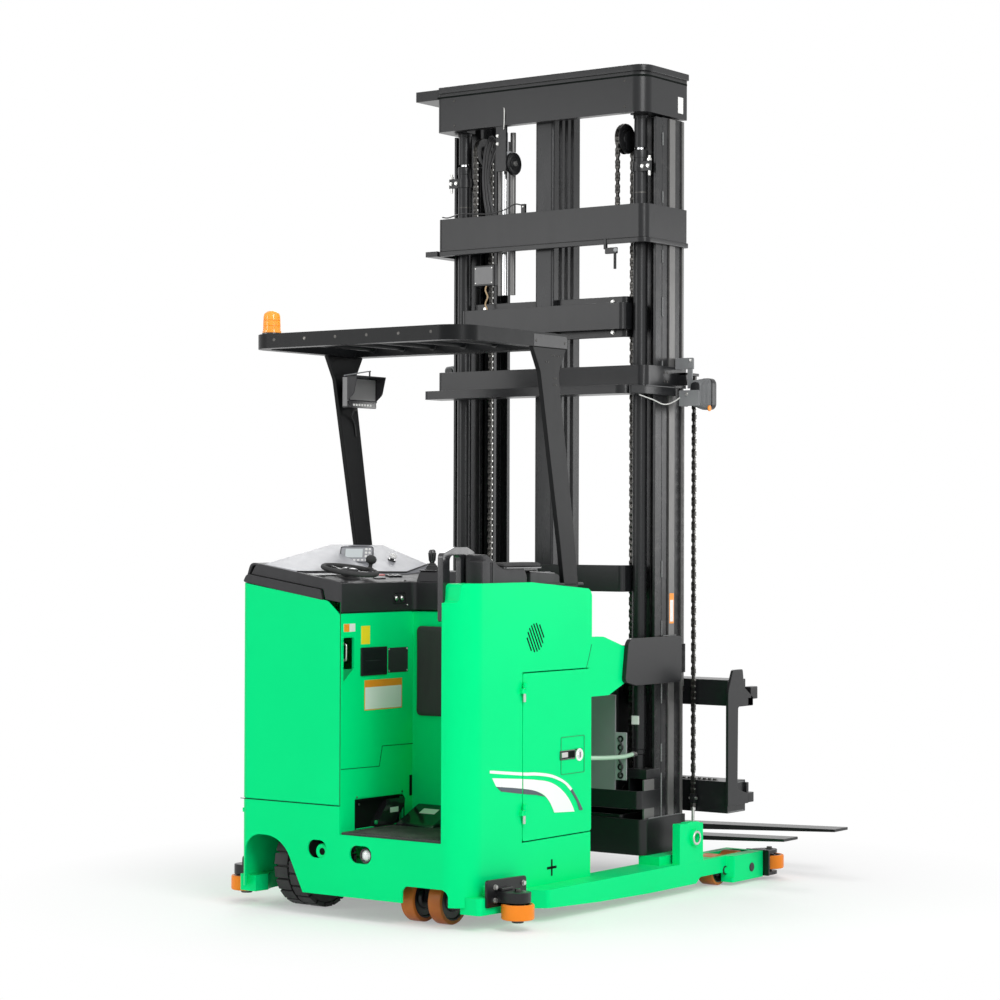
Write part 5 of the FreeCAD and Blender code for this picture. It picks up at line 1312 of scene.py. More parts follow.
def make_step():
    mat = Piece("step_mat")
    mat.prism("xy", [(2, -442, 8), (453, -442, 3), (453, 43, 3), (2, 43, 14)], (323.5, 329),
        "mat_rubber", 1.5)
    mat.prism("xy", [(1, -438, 8), (450, -438, 3), (450, 40, 3), (1, 40, 14)], (328, 332),
        "mat_rubber", 1.2)
    for step in range(22):
        y = -424 + step * 20.5
        mat.box((14, 444), (y - 5.5, y + 5.5), (331, 334.4), "mat_rubber", 1.5)
    mat.done("chassis", ["floor_mat"])
    pedal = Piece("pedal")
    pedal.prism("xz", [(306, 332), (309, 344, 8), (352, 362, 20), (448, 407, 8), (456, 407),
        (456, 332)], (-172, 12), GLOSS, 4, segments=3)
    slope = Matrix.Rotation(-atan(0.469), 3, "Y")
    pedal.box((384, 420), (-118, -42), (385.2, 386.4), "label_white", 0.2, slope)
    pedal.done("chassis", ["foot_pedal"])
    toe = Piece("toe_recess")
    # the toe recess's back wall and rim are near-black painted shade
    toe.box((92, 404), (70, 72), (332, 452), GAP_SHADOW, 0)
    toe.prism("xz", [(94, 332), (94, 445, 16), (404, 445, 20), (404, 332)], (44.4, 46.6), GAP_SHADOW, 0.4,
        holes=[[(99, 333), (99, 441, 13), (399, 441, 17), (399, 333)]])
    toe.prism("xz", [(210, 334, 4), (330, 334, 4), (398, 410, 8), (398, 436, 8), (300, 436, 10)],
        (38, 70), GLOSS, 3)
    flat_label(toe, (330, 392), (52, 20), 38, "label_white")
    for x in (120, 386):
        toe.screw("y", (x, 46, 428), 5, -1, CHAIN)
    # a small hexagon in shaded green is painted shade
    toe.lathe("y", (214, 40, 352), [(0, 9), (-6, 9), (-8, 7), (-8, 0)], "shaded_green", 6)
    toe.done("chassis")


class TRUCK_OT_step(bpy.types.Operator):
    """Makes the ribbed mat, the pedal and the toe recess of the step-in"""
    bl_idname = "truck.step"
    bl_label = "Mat and pedal"

    def execute(self, context):
        make_step()
        return {"FINISHED"}


def make_beacon():
    place = (75, 464, 0)
    lamp = Piece("warning_beacon")
    lamp.lathe("z", place, [(2262, 0), (2262, 39), (2266, 40), (2271, 39), (2273, 36), (2273, 0)],
        GLOSS, 44)
    lamp.lathe("z", place, [(2271, 30), (2271, 37), (2275, 38), (2281, 37), (2282, 35),
        (2282, 30)], "amber_lens", 44)
    ribs = [(2281, 34.5), (2284, 33.4), (2318, 32.6), (2340, 31.5), (2350, 28), (2357, 20),
        (2360, 10), (2361, 0)]
    lamp.lathe("z", place, ribs, "amber_lens", 48)
    for step in range(24):
        turn = tau * step / 24
        lamp.tube([(place[0] + r * cos(turn), place[1] + r * sin(turn), z)
            for z, r in ((2283, 33.2), (2318, 32.4), (2339, 31.2), (2349, 27.8))], 1.7,
            "amber_lens", 6)
    for z in (2300, 2322):
        lamp.lathe("z", place, [(z - 1.2, 33), (z, 35), (z + 1.2, 33)], "amber_lens", 48)
    lamp.done("chassis", ["beacon"])


def make_monitor():
    """A rear-view screen with its hood, keys and folded aerial."""
    box = Piece("monitor_screen")
    box.prism("xz", rect(505, 695, 1994, 2122, 6), (428, 456), GLOSS, 3)
    box.prism("xz", rect(506, 694, 2018, 2121, 3), (424, 430), GLOSS, 1.5,
        holes=[rect(516, 684, 2026, 2112, 2)])
    box.prism("xz", rect(515, 685, 2025, 2113, 2), (426, 429), "screen_grey", 0.3)
    for step in range(7):
        x = 546 + 18 * step
        box.prism("xz", rect(x - 6, x + 6, 2002, 2011, 3), (426, 429), "key_white", 0.8)
    hood = [(505, 2119), (505, 2124, 2), (695, 2124, 2), (695, 2119)]
    box.prism("xz", hood, (378, 430), HOOD, 1)
    for x in (505, 691):
        box.prism("yz", [(430, 2022), (430, 2122), (378, 2122, 3), (396, 2050, 8)], (x, x + 4),
            HOOD, 1)
    box.box((590, 625), (455, 498), (2040, 2080), BLACK, 3)
    box.rod("z", (606, 470), (1984, 2100), 7, CHAIN)
    box.tube([(664, 440, 2124), (664, 440, 2140), (664, 440, 2148)], 3.5, GLOSS, 10)
    box.tube([(668, 438, 2150), (640, 442, 2146), (570, 452, 2134), (520, 458, 2126)], 2.6,
        "label_grey", 8)
    box.tube(smooth_path([(600, 462, 1998), (596, 474, 1975), (610, 492, 1960), (640, 500, 1930),
        (652, 501, 1880)]), 3.0, "hose_rubber", 8)
    box.done("chassis", ["monitor"])


def make_guard_fittings():
    make_beacon()
    make_monitor()
    joints = Piece("guard_bolts")
    for side in (-1, 1):
        face = side * 524
        for x, z in ((560, 2150), (575, 2150), (598, 2176), (613, 2176), (640, 2176), (655, 2176),
                (614, 2088), (628, 2088), (612, 2062), (627, 2062)):
            joints.screw("y", (x, face, z), 3.4, side, CHAIN)
        joints.prism("xz", [(470, 2207), (698, 2207, 2), (698, 2255, 14), (470, 2255)],
            (side * 526, side * 529.6), BLACK, 0.8)
        for x in (486, 680):
            joints.screw("y", (x, side * 529, 2228), 5, side, CHAIN)
    for index in range(6):
        y = (index - 2.5) * 155
        for x in (50, 620):
            joints.lathe("x", (x, y, 2238), [(-3, 12), (-3, 19), (3, 19), (3, 12)], BLACK, 24)
        joints.lathe("x", (0, y, 2238), [(-0.2, 0), (-0.2, 6), (1.5, 7), (1.5, 0)], CHAIN, 16)
    joints.done("chassis")


class TRUCK_OT_guard_fittings(bpy.types.Operator):
    """Makes the beacon, the monitor and the bolted plates of the guard"""
    bl_idname = "truck.guard_fittings"
    bl_label = "Guard fittings"

    def execute(self, context):
        make_guard_fittings()
        return {"FINISHED"}


def chain_run(piece, place, low, high, plates=3):
    """A hanging leaf chain: waisted link plates on pins that lie across the truck."""
    pitch = settings().detail.chain_pitch * 1000
    x, y = place
    link = Piece("link")
    outline = [(-7.5, -9, 5), (-5, 0), (-7.5, 9, 5), (-6, pitch / 2 + 6, 6), (6, pitch / 2 + 6, 6),
        (7.5, 9, 5), (5, 0), (7.5, -9, 5), (6, -pitch / 2 - 6, 6), (-6, -pitch / 2 - 6, 6)]
    for step in range(plates):
        side = (step - (plates - 1) / 2) * 7.0
        link.prism("xz", outline, (side - 1.6, side + 1.6), CHAIN, 0, steps=2)
    odd = Piece("odd_link")
    for side in (-3.5, 3.5):
        odd.prism("xz", outline, (side - 1.6, side + 1.6), CHAIN, 0, steps=2)
    for end in (-1, 1):
        odd.rod("y", (0, end * pitch / 2), (-10.5, 10.5), 3.6, ZINC, 0, 8)
    count = int((high - low) / pitch)
    places = [Matrix.Translation((x, y, low + (step + 0.5) * pitch)) for step in range(count)]
    piece.copies(link, places[::2])
    piece.copies(odd, places[1::2])


def weld_bead(piece, start, end):
    """A weld bead: small overlapping ripples along a line."""
    start, end = Vector(start), Vector(end)
    length = (end - start).length
    count = max(4, int(length / 6))
    path = [start.lerp(end, step / count) for step in range(count + 1)]
    piece.tube(path, 3.0, WELD, 6)
    for step in range(0, count, 2):
        part = bmesh.new()
        bmesh.ops.create_icosphere(part, subdivisions=1, radius=4.0)
        bmesh.ops.translate(part, vec=path[step], verts=part.verts)
        piece.add(part, WELD)


def add_strap(top):
    """The hanging bracket with its hose pulley under the top plate."""
    top.prism("xy", [(1231, -546, 66), (1574, -546, 4), (1574, -520), (1262, -520), (1262, 520),
        (1231, 520)], (3386, 3413.6), BLACK, 3, steps=10)
    # a near-black band is painted as the shade in the groove under the top lip
    top.prism("xy", [(1238.8, -537.2, 60), (1573, -537.2, 2), (1573, -520), (1262, -520),
        (1262, 537), (1238.8, 537, 24)], (3366, 3373), GAP_SHADOW, 0, steps=10)
    top.box((1246, 1258), (168, 222), (3026, 3226), BLACK, 2)
    top.box((1258, 1300), (196, 204), (3040, 3200), BLACK, 2)
    for z in (3179, 3145):
        top.bolt("x", (1246, 211, z), 7, -1)
    top.lathe("y", (1262, 140, 3056), [(-9, 47), (-6, 49), (-3, 42), (3, 42), (6, 49), (9, 47),
        (9, 40), (6, 34), (6, 24), (9, 22), (9, 12), (-9, 12), (-9, 22), (-6, 24), (-6, 34),
        (-9, 40), (-9, 47)], RAIL, 44)
    top.rod("y", (1262, 3056), (126, 200), 11, ZINC)
    top.box((1252, 1272), (152, 170), (3050, 3110), "label_grey", 3)
    top.tube(smooth_path([(1243, 176, 3300), (1236, 170, 3270), (1238, 172, 3235),
        (1243, 178, 3205)]), 2.4, "lead_white", 8)
    for side in (-1, 1):
        for z in (3243, 3350):
            top.screw("x", (1240, side * 440, z), 5, -1, CHAIN)
        top.rod("z", (1340, side * 455), (3084, 3219), 27, RAIL, 1, 40)
        top.rod("z", (1340, side * 455), (3206, 3219), 31, BLACK, 1, 40)


def make_mast_rails():
    ribs = Piece("rail_ribs")
    for side in (-1, 1):
        out = lambda value: side * value
        ribs.box((1446, 1490), (out(522), out(531.5)), (309, 3212), "rail_steel", 2)
        ribs.box((1544, 1559.5), (out(522), out(531.5)), (309, 3212), "rail_steel", 2)
        ribs.box((1352, 1402), (out(511), out(522.5)), (172, 3212), RAIL, 1.5)
        ribs.box((1562, 1573), (out(506), out(528)), (840, 2040), "rail_steel", 2)
        ribs.box((1275, 1352), (out(514), out(523.5)), (172, 469), "rail_steel", 2)
        ribs.rod("y", (1568, 828), (out(505), out(529)), 9, CHAIN)
        for low, high in ((2611, 2661), (2387, 2465), (2182, 2200), (1303, 1369), (1060, 1120),
                (780, 859), (539, 610), (312, 489), (2860, 2905), (3100, 3150)):
            weld_bead(ribs, (1403, out(524), low), (1403, out(524), high))
    ribs.done("chassis")
    lips = Piece("band_lips")
    lips.prism("xy", [(1241, -545, 44), (1573, -545, 6), (1573, -523), (1262, -523), (1262, 523),
        (1241, 523)], (2681, 2702), BLACK, 3, steps=8)
    lips.prism("xy", [(1150, -535), (1240, -552, 16), (1470, -552, 12), (1482, -540, 8),
        (1482, -523), (1150, -523)], (2055, 2089), BLACK, 3, steps=6)
    for side in (-1, 1):
        out = lambda value: side * value
        weld_bead(lips, (1300, out(530), 309), (1556, out(530), 309))
        weld_bead(lips, (1405, out(533), 1057), (1500, out(533), 1057))
        weld_bead(lips, (1262, out(538), 2089.5), (1470, out(538), 2089.5))
        for x, z in ((1400, 2150), (1424, 2150), (1400, 2112), (1424, 2112)):
            lips.screw("y", (x, out(536), z), 4.5, side, CHAIN)
    lips.done("chassis")
    tags = Piece("mast_labels")
    flat_label(tags, (1468, 1170), (34, 126), -531.5, "label_orange", 3)
    flat_label(tags, (1468, 1160), (25, 90), -532.1, "label_white", 1, 0.4)
    tags.done("chassis")
    top = Piece("mast_head_details")
    flat_label(top, (1521, 3277), (40, 68), -536, "label_white", 2)
    add_strap(top)
    top.done("middle_mast")


class TRUCK_OT_mast_rails(bpy.types.Operator):
    """Adds the rolled ribs, stitch welds, lips and labels of the mast rails"""
    bl_idname = "truck.mast_rails"
    bl_label = "Mast rail details"

    def execute(self, context):
        make_mast_rails()
        return {"FINISHED"}


def add_cylinder(tubes, clamps, side):
    """A lift cylinder with its seat, its upper clamp and, on the right, its pipe."""
    x, y = 1340, side * 455
    tubes.lathe("z", (x, y, 0), [(509, 0), (509, 23), (566, 23), (570, 27), (588, 27), (591, 30),
        (3040, 30), (3042, 31.5), (3070, 31.5), (3074, 29), (3075, 19), (3060, 18.6), (3060, 0)],
        RAIL, 48)
    tubes.lathe("z", (x, y, 0), [(2894, 30), (2894, 31), (2898, 31), (2898, 30)], CHAIN, 48)
    tubes.box((1290, 1400), (side * 425, side * 524), (470, 510), BLACK, 3)
    tubes.box((1296, 1400), (side * 430, side * 438), (400, 471), BLACK, 2)
    clamps.lathe("z", (x, y, 0), [(2984, 29.5), (2984, 35), (3022, 35), (3022, 29.5),
        (2984, 29.5)], BLACK, 40)
    clamps.box((1330, 1402), (side * 484, side * 496), (2986, 3020), BLACK, 2)
    clamps.box((1312, 1320), (side * 470, side * 522), (2982, 3024), BLACK, 2)
    clamps.bolt("x", (1312, side * 482, 3003), 8, -1)
    clamps.bolt("x", (1312, side * 510, 3003), 8, -1)
    clamps.rod("z", (1318, side * 512), (2962, 3046), 6, ZINC)
    clamps.hexagon("z", (1318, side * 512), (3024, 3034), 18)
    if side < 0:
        clamps.box((1308, 1312), (-474, -438), (692, 728), "label_white", 1)
        clamps.tube(smooth_path([(892, -470, 584), (1050, -466, 572), (1200, -462, 566),
            (1288, -457, 570)]), 9, "pipe_green", 14)
        for low, high, radius in ((1284, 1300, 12), (1299, 1319, 9)):
            clamps.rod("x", (-456, 570), (low, high), radius, ZINC, 1, 6)


def make_lift_chain(side, name):
    """Two runs of chain over a sheave at the head of the inner mast."""
    pack = Piece("lift_chain_" + name)
    y = side * 367
    chain_run(pack, (1300, y), 2700, 3135)
    chain_run(pack, (1414, y), 372, 3135)
    pack.lathe("y", (1357, y, 3130), [(-12, 44), (-12, 62), (-9, 63), (-8, 50), (8, 50), (9, 63),
        (12, 62), (12, 44), (9, 40), (9, 24), (13, 22), (13, 12), (-13, 12), (-13, 22), (-9, 24),
        (-9, 40), (-12, 44)], RAIL, 48)
    pitch = settings().detail.chain_pitch * 1000
    link = Piece("sheave_link")
    for step in (-1, 0, 1):
        link.prism("xz", rect(-6, 6, -pitch / 2 - 5, pitch / 2 + 5, 5),
            (step * 7 - 1.6, step * 7 + 1.6), CHAIN, 0, steps=2)
    turns = [Matrix.Translation((1357, y, 3130)) @ Matrix.Rotation(pi * k / 8, 4, "Y")
        @ Matrix.Translation((-57, 0, 0)) for k in range(1, 8)]
    pack.copies(link, turns)
    pack.rod("y", (1357, 3130), (y - 16, y + 16), 13, ZINC)
    for place in (y - 18, y + 14):
        pack.prism("xz", [(1337, 3080, 10), (1385, 3080, 10), (1385, 3160, 20), (1337, 3160, 20)],
            (place, place + 4), BLACK, 1)
    pack.rod("z", (1414, y), (338, 376), 6, ZINC)
    pack.box((1402, 1426), (y - 9, y + 9), (322, 342), CHAIN, 2)
    pack.done("inner_mast")


def make_anchor_chain(side, name):
    """The outside chain ahead of the rail, with its clevis and anchor rod."""
    pack = Piece("anchor_chain_" + name)
    x, y = 1592, side * 563
    chain_run(pack, (x, y), 384, 2150 if side < 0 else 2200)
    pack.box((x - 11, x + 11), (y - 12, y + 12), (352, 390), BLACK, 3)
    pack.rod("y", (x, 372), (y - 19, y + 19), 6, ZINC)
    pack.hexagon("z", (x, y), (336, 352), 22, CHAIN)
    pack.hexagon("z", (x, y), (322, 333), 20)
    pack.rod("z", (x, y), (124, 345), 7, ZINC)
    pack.hexagon("z", (x, y), (125, 139), 24)
    pack.box((1500, 1604), (side * 545, side * 580), (2142, 2154), BLACK, 2)
    pack.box((1500, 1512), (side * 534, side * 580), (2100, 2154), BLACK, 2)
    pack.done("chassis")


def make_hoses():
    """Hoses that come down beside the chain, tubes, leads and switches."""
    pack = Piece("mast_hoses")
    for shift, top in ((0, 3190), (17, 3176), (33, 3150)):
        pack.tube(smooth_path([(1345, 290 - shift, top - 20), (1322, 304 - shift, top),
            (1303, 318 - shift * 0.9, top - 60), (1300, 326 - shift * 0.8, 3020),
            (1300, 320 - shift * 0.9, 2930), (1300, 306 - shift, 2840), (1300, 300 - shift, 2690)],
            8), 6.8, "hose_rubber", 12)
    for y, radius, name in ((212, 13, "chrome_rod"), (170, 12, "rail_steel"),
            (240, 8, "rail_steel")):
        pack.rod("z", (1302, y), (2500, 3196), radius, name, 1)
    pack.box((1290, 1326), (258, 372), (2545, 2636), BLACK, 4)
    pack.prism("yz", rect(266, 364, 2553, 2628, 3), (1288, 1291), GLOSS, 1)
    for y in (272, 358):
        for z in (2559, 2622):
            pack.screw("x", (1288, y, z), 3.5, -1)
    ribbon = [(1289, 300 + 6 * sin(step * 0.9), 2545 - 9 * step) for step in range(22)]
    pack.tube(smooth_path(ribbon, 2), 3.4, "ribbon_tan", 8)
    pack.done("inner_mast")
    leads = Piece("mast_leads")
    leads.box((1250, 1262), (70, 92), (2840, 2880), BLACK, 2)
    leads.screw("x", (1250, 81, 2868), 4, -1)
    leads.tube(smooth_path([(1252, 84, 2874), (1244, 120, 2880), (1240, 170, 2860),
        (1240, 240, 2848), (1242, 320, 2852), (1242, 400, 2858), (1242, 470, 2846),
        (1244, 505, 2850)]), 2.8, "hose_rubber", 8)
    leads.box((1237, 1252), (-402, -345), (2640, 2666), BLACK, 3)
    leads.box((1238, 1250), (-352, -338), (2660, 2704), BLACK, 2)
    leads.rod("z", (1244, -392), (2576, 2646), 6, BLACK)
    leads.lathe("x", (1237, -400, 2654), [(0, 9), (-5, 9), (-7, 6), (-7, 0)], "label_grey", 20)
    leads.tube(smooth_path([(1206, -538, 2050), (1290, -552, 2032), (1365, -558, 2016),
        (1440, -562, 2032), (1500, -585, 2070), (1530, -604, 2074)], 8), 2.6, "lead_white", 8)
    leads.box((1238, 1248), (-403, -190), (423, 815), "bracket_grey", 2)
    leads.box((1240, 1246), (-458, -403), (466, 662), "label_grey", 1.5)
    # near-black rings are painted shade round the holes that the lead passes through
    for z in (635, 600, 520, 485):
        leads.lathe("x", (1240, -430, z), [(0, 14), (-3, 14), (-3, 7), (0, 7), (0, 14)], GAP_SHADOW, 20)
    leads.tube(smooth_path([(1236, -418, 640), (1236, -440, 600), (1236, -420, 560),
        (1236, -440, 520), (1236, -425, 484)]), 4, "hose_rubber", 8)
    leads.done("chassis")


def make_lift():
    tubes = Piece("lift_tubes")
    clamps = Piece("cylinder_clamps")
    for side in (-1, 1):
        add_cylinder(tubes, clamps, side)
    tubes.done("chassis", ["lift_cylinders"])
    clamps.done("chassis")
    for side, name in ((-1, "right"), (1, "left")):
        make_lift_chain(side, name)
        make_anchor_chain(side, name)
    make_hoses()


class TRUCK_OT_lift(bpy.types.Operator):
    """Makes the lift cylinders, their seats and clamps, the chains and the sheaves"""
    bl_idname = "truck.lift"
    bl_label = "Lift cylinders and chains"

    def execute(self, context):
        make_lift()
        return {"FINISHED"}


def make_spot_lamps():
    pack = Piece("work_lamps")
    for side, low in ((-1, 1990), (1, 2090)):
        out = lambda value: side * value
        middle = (out(640), low + 75)
        shape = lambda wide, tall, corner: rect(middle[0] - wide, middle[0] + wide,
            middle[1] - tall, middle[1] + tall, corner)
        pack.prism("yz", shape(33, 66, 26), (1556, 1590), BLACK, 3, steps=8)
        pack.prism("yz", shape(30, 62, 24), (1588, 1597), GLOSS, 2, steps=8,
            holes=[shape(25, 57, 20)])
        pack.prism("yz", shape(26, 58, 20), (1588, 1593), "lamp_lens", 1, steps=8)
        pack.prism("yz", shape(20, 46, 16), (1470, 1558), BLACK, 3)
        for step in range(9):
            x = 1476 + step * 9
            grow = step / 8
            pack.prism("yz", shape(26 + 6 * grow, 54 + 10 * grow, 22), (x, x + 2.6),
                "bracket_grey", 0.6, steps=5)
        pack.prism("yz", [(out(536), 2166, 3), (out(626), 2166, 3), (out(626), 2214, 8),
            (out(536), 2214, 3)], (1484, 1490), "bracket_grey", 1.2)
        pack.box((1490, 1545), (out(536), out(541)), (2166, 2214), "bracket_grey", 1.5)
        pack.bolt("x", (1484, out(612), 2203), 6, -1)
        pack.box((1484, 1490), (out(596), out(620)), (low + 96, 2170), "bracket_grey", 1.5)
        pack.prism("yz", [(out(566), low + 22, 3), (out(664), low + 22, 3),
            (out(664), low + 88, 6), (out(566), low + 88, 6)], (1466, 1471), "bracket_grey", 1.2)
        pack.bolt("x", (1466, out(604), low + 72), 6.5, -1)
        pack.box((1470, 1530), (out(566), out(571)), (low + 22, low + 88), "bracket_grey", 1.5)
        pack.lathe("y", (1540, out(668), low + 14), [(out(0), 12), (out(4), 12), (out(5), 9),
            (out(5), 0)], "label_orange", 24)
    pack.done("chassis", ["spot_lamps"])


class TRUCK_OT_spot_lamps(bpy.types.Operator):
    """Makes the two finned work lamps beside the mast"""
    bl_idname = "truck.spot_lamps"
    bl_label = "Work lamps"

    def execute(self, context):
        make_spot_lamps()
        return {"FINISHED"}


def make_inner_column():
    pack = Piece("grooved_column")
    outline = [(1290, -47, 14), (1334, -47, 3), (1338, -38, 3), (1352, -38, 3), (1356, -47, 3),
        (1378, -47, 3), (1382, -38, 3), (1396, -38, 3), (1400, -47, 3), (1422, -47, 3),
        (1426, -38, 3), (1440, -38, 3), (1444, -47, 3), (1500, -47, 14)]
    outline += [(x, -y, r) for x, y, r in reversed(outline)]
    pack.prism("xy", outline, (205, 3205), RAIL, 1.2, steps=3)
    pack.box((1432, 1500), (-413, 413), (206, 234), BLACK, 3)
    pack.box((1287, 1432), (-399, 399), (206, 234), BLACK, 3)
    bent = [(1325, -400, 30), (1432, -400), (1432, -388), (1337, -388, 18), (1337, 388, 18),
        (1432, 388), (1432, 400), (1325, 400, 30)]
    pack.prism("xy", bent, (2300, 2470), BLACK, 2, steps=8)
    for side in (-1, 1):
        for z in (2322, 2448):
            pack.bolt("x", (1325, side * 330, z), 9, -1)
        pack.tube([(1334, side * 48, 2300 + 10 * k) for k in range(18)], 3.2, WELD, 6)
    pack.done("inner_mast", ["inner_mast_column"])
    head = Piece("column_head")
    head.prism("xy", outline, (3204, 3330), RAIL, 1.2, steps=3)
    head.box((1538, 1553), (-412, 412), (3282, 3328), BLACK, 2)
    for side in (-1, 1):
        head.box((1538, 1553), (side * 398, side * 412), (3180, 3284), BLACK, 2)
    head.done("inner_mast")


class TRUCK_OT_inner_column(bpy.types.Operator):
    """Makes the grooved middle column of the inner mast, its head and its cross plates"""
    bl_idname = "truck.inner_column"
    bl_label = "Inner mast column"

    def execute(self, context):
        make_inner_column()
        return {"FINISHED"}


def make_end_plates():
    """The upright end plates of the cross rails, with a stop at the head and foot."""
    pack = Piece("end_plates")
    outline = [(1594, 348, 6), (1594, 822, 20), (1634, 913, 10), (1712, 913, 8), (1725, 836, 8),
        (1798, 792, 6), (1798, 757, 6), (1676, 757, 12), (1672, 412, 12), (1764, 388, 8),
        (1764, 348, 6)]
    for side in (-1, 1):
        plate, inner = sorted((side * 720, side * 732)), (side * 698, side * 732)
        pack.prism("xz", outline, plate, BLACK, 1.5)
        pack.box((1778, 1836), inner, (784, 836), BLACK, 3)
        pack.box((1758, 1806), inner, (350, 392), BLACK, 3)
        pack.box((1745, 1764), inner, (388, 436), BLACK, 3)
        pack.box((1755, 1798), inner, (757, 792), BLACK, 2)
        for z in (790, 850):
            pack.tube([(1614 + 8 * k, side * 718.5, z) for k in range(12)], 3.0, WELD, 6)
    pack.done("lift_carriage", ["rail_end_plates"])


def make_slider(size):
    pack = Piece("slider_details")
    for top, base in ((925, 1), (285, -1)):
        pack.lathe("z", (2100, 270, 0), [(top - base * 2, 44), (top + base * 7, 44),
            (top + base * 9, 41), (top + base * 9, 18), (top + base * 5, 14), (top + base * 5, 0)],
            BLACK, 40)
        for step in range(6):
            turn = tau * step / 6
            pack.bolt("z", (2100 + 31 * cos(turn), 270 + 31 * sin(turn), top + base * 8), 5.5,
                base)
    for y in (196, 344):
        for z in (330, 470, 740, 890):
            pack.bolt("x", (1755, y, z), size, -1)
    for z in (360, 850):
        pack.tube([(1802 + 5 * k, 190, z) for k in range(16)], 3.2, WELD, 6)
    pack.done("traverse_slider")


def make_turret_details(size):
    pack = Piece("turret_details")
    for low in (349, 857):
        pack.lathe("z", (2100, 270, 0), [(low - 4, 83), (low - 4, 88), (low + 4, 88),
            (low + 4, 83), (low - 4, 83)], CHAIN, 48)
    for z in (240, 275, 655, 695):
        for x in (2050, 2150):
            pack.bolt("y", (x, 130, z), size, -1)
    for x in (1830, 2370):
        for low in (205, 625):
            pack.box((x - 10, x + 10), (127, 131), (low + 10, low + 90), BLACK, 1.5)
    # small near-black notches are painted shade
    for x in (1935, 2000, 2200, 2265):
        pack.prism("xz", [(x - 6, 724), (x + 6, 724), (x + 3, 715), (x - 3, 715)], (129.4, 134),
            GAP_SHADOW, 0)
    pack.done("turret")


def make_fork_pins():
    for name in ("fork_rear", "fork_front"):
        low, high = limits(name)
        middle, top = (low[0] + high[0]) / 2, high[2]
        pack = Piece(name + "_pin")
        pack.rod("z", (middle, 150), (top - 2, top + 10), 15, CHAIN, 2)
        pack.rod("z", (middle, 150), (top + 8, top + 26), 9, ZINC, 2)
        pack.box((middle - 20, middle + 20), (146, 154), (top + 20, top + 27), ZINC, 2)
        pack.done("turret")


def make_left_side():
    """The left cover's stripes, seam and vents in painted shade, screws and handle."""
    trim = Piece("left_side_trim")
    lower = bend([(170, 562), (367, 544), (464, 533), (545, 519), (613, 492), (668, 453),
        (703, 414), (717, 440)]) + bend([(620, 440), (565, 455), (545, 462), (511, 475),
        (451, 492), (345, 510), (196, 528)])
    for outline in (upper_stripe(), lower):
        trim.prism("xz", outline, (554.4, 555.45), "stripe_white", 0)
    # a near-black seam line is painted shade
    trim.box((420, 421.5), (554.2, 555.8), (436, 1282), GAP_SHADOW, 0)
    for x in (90, 400, 440, 810):
        for z in (470, 1240):
            trim.screw("y", (x, 555, z), 6, 1, CHAIN)
    # the vent slots are near-black painted shade
    for row in range(8):
        z = 1060 + row * 15
        trim.prism("xz", rect(560, 700, z, z + 6, 3), (553.5, 555.6), GAP_SHADOW, 0.2, steps=3)
    trim.prism("xz", rect(100, 190, 700, 740, 8), (553.5, 556), GLOSS, 1)
    trim.done("chassis")


def make_carriage_details():
    size = settings().detail.bolt_size * 1000
    rails = Piece("carriage_details")
    for side in (-1, 1):
        out = lambda value: side * value
        for low, high in ((318, 444), (766, 868)):
            rails.box((1753, 1758.5), (out(640), out(716)), (low + 16, high - 16), BLACK, 2)
            for y in (656, 700):
                rails.bolt("x", (1758.5, out(y), (low + high) / 2), size * 0.8, 1)
        for z in (320, 440, 770, 865):
            rails.tube([(1612 + 8 * k, out(718.5), z) for k in range(17)], 3.0, WELD, 6)
        for z in (400, 840):
            rails.rod("y", (1430, z), (out(329), out(334)), 30, CHAIN, 1, 36)
    for index in range(52):
        y = -640 + index * 25
        rails.prism("xz", [(1640, 446), (1643, 454), (1652, 454), (1655, 446)], (y, y + 11), CHAIN,
            0)
    rails.box((1636, 1659), (-646, 650), (446, 449), CHAIN, 0.6)
    rails.done("lift_carriage")
    make_end_plates()
    make_slider(size)
    make_turret_details(size)
    make_fork_pins()
    make_left_side()


class TRUCK_OT_carriage_details(bpy.types.Operator):
    """Adds the end plates, rack, bolts, pins and welds of the carriage and the turret,
    and the stripes and vents of the left cover"""
    bl_idname = "truck.carriage_details"
    bl_label = "Carriage and turret details"

    def execute(self, context):
        make_carriage_details()
        return {"FINISHED"}


# stage

def make_floor(stage):
    shape = bmesh.new()
    bmesh.ops.create_grid(shape, x_segments=8, y_segments=8, size=60.0)
    data = bpy.data.meshes.new("floor")
    shape.to_mesh(data)
    shape.free()
    item = bpy.data.objects.new("floor", data)
    item.location.z = -0.0005
    bpy.context.scene.collection.objects.link(item)
    material = bpy.data.materials.new("pale_floor")
    material.use_nodes = True
    tree = material.node_tree
    shader = tree.nodes["Principled BSDF"]
    feed(tree, shader, {"Base Color": (*stage.floor_tone, 1.0), "Roughness": 0.75,
        "Specular IOR Level": 0.1})
    place = node(tree, "ShaderNodeTexCoord", (-900, 0)).outputs["Object"]
    length = node(tree, "ShaderNodeVectorMath", (-700, 0), operation="LENGTH")
    feed(tree, length, {0: place})
    far = spread(tree, (-500, 0), length.outputs["Value"], 1.2, 2.3, 0.35, 1.0)
    white = node(tree, "ShaderNodeEmission", (-200, -250))
    feed(tree, white, {"Color": (1.0, 1.0, 1.0, 1.0)})
    blend = node(tree, "ShaderNodeMixShader", (250, 100))
    shown = maths(tree, "MULTIPLY", (-250, 200), far, seen_rays(tree, -700, 300))
    feed(tree, blend, {0: shown, 1: shader.outputs[0], 2: white.outputs[0]})
    feed(tree, tree.nodes["Material Output"], {"Surface": blend.outputs[0]})
    data.materials.append(material)


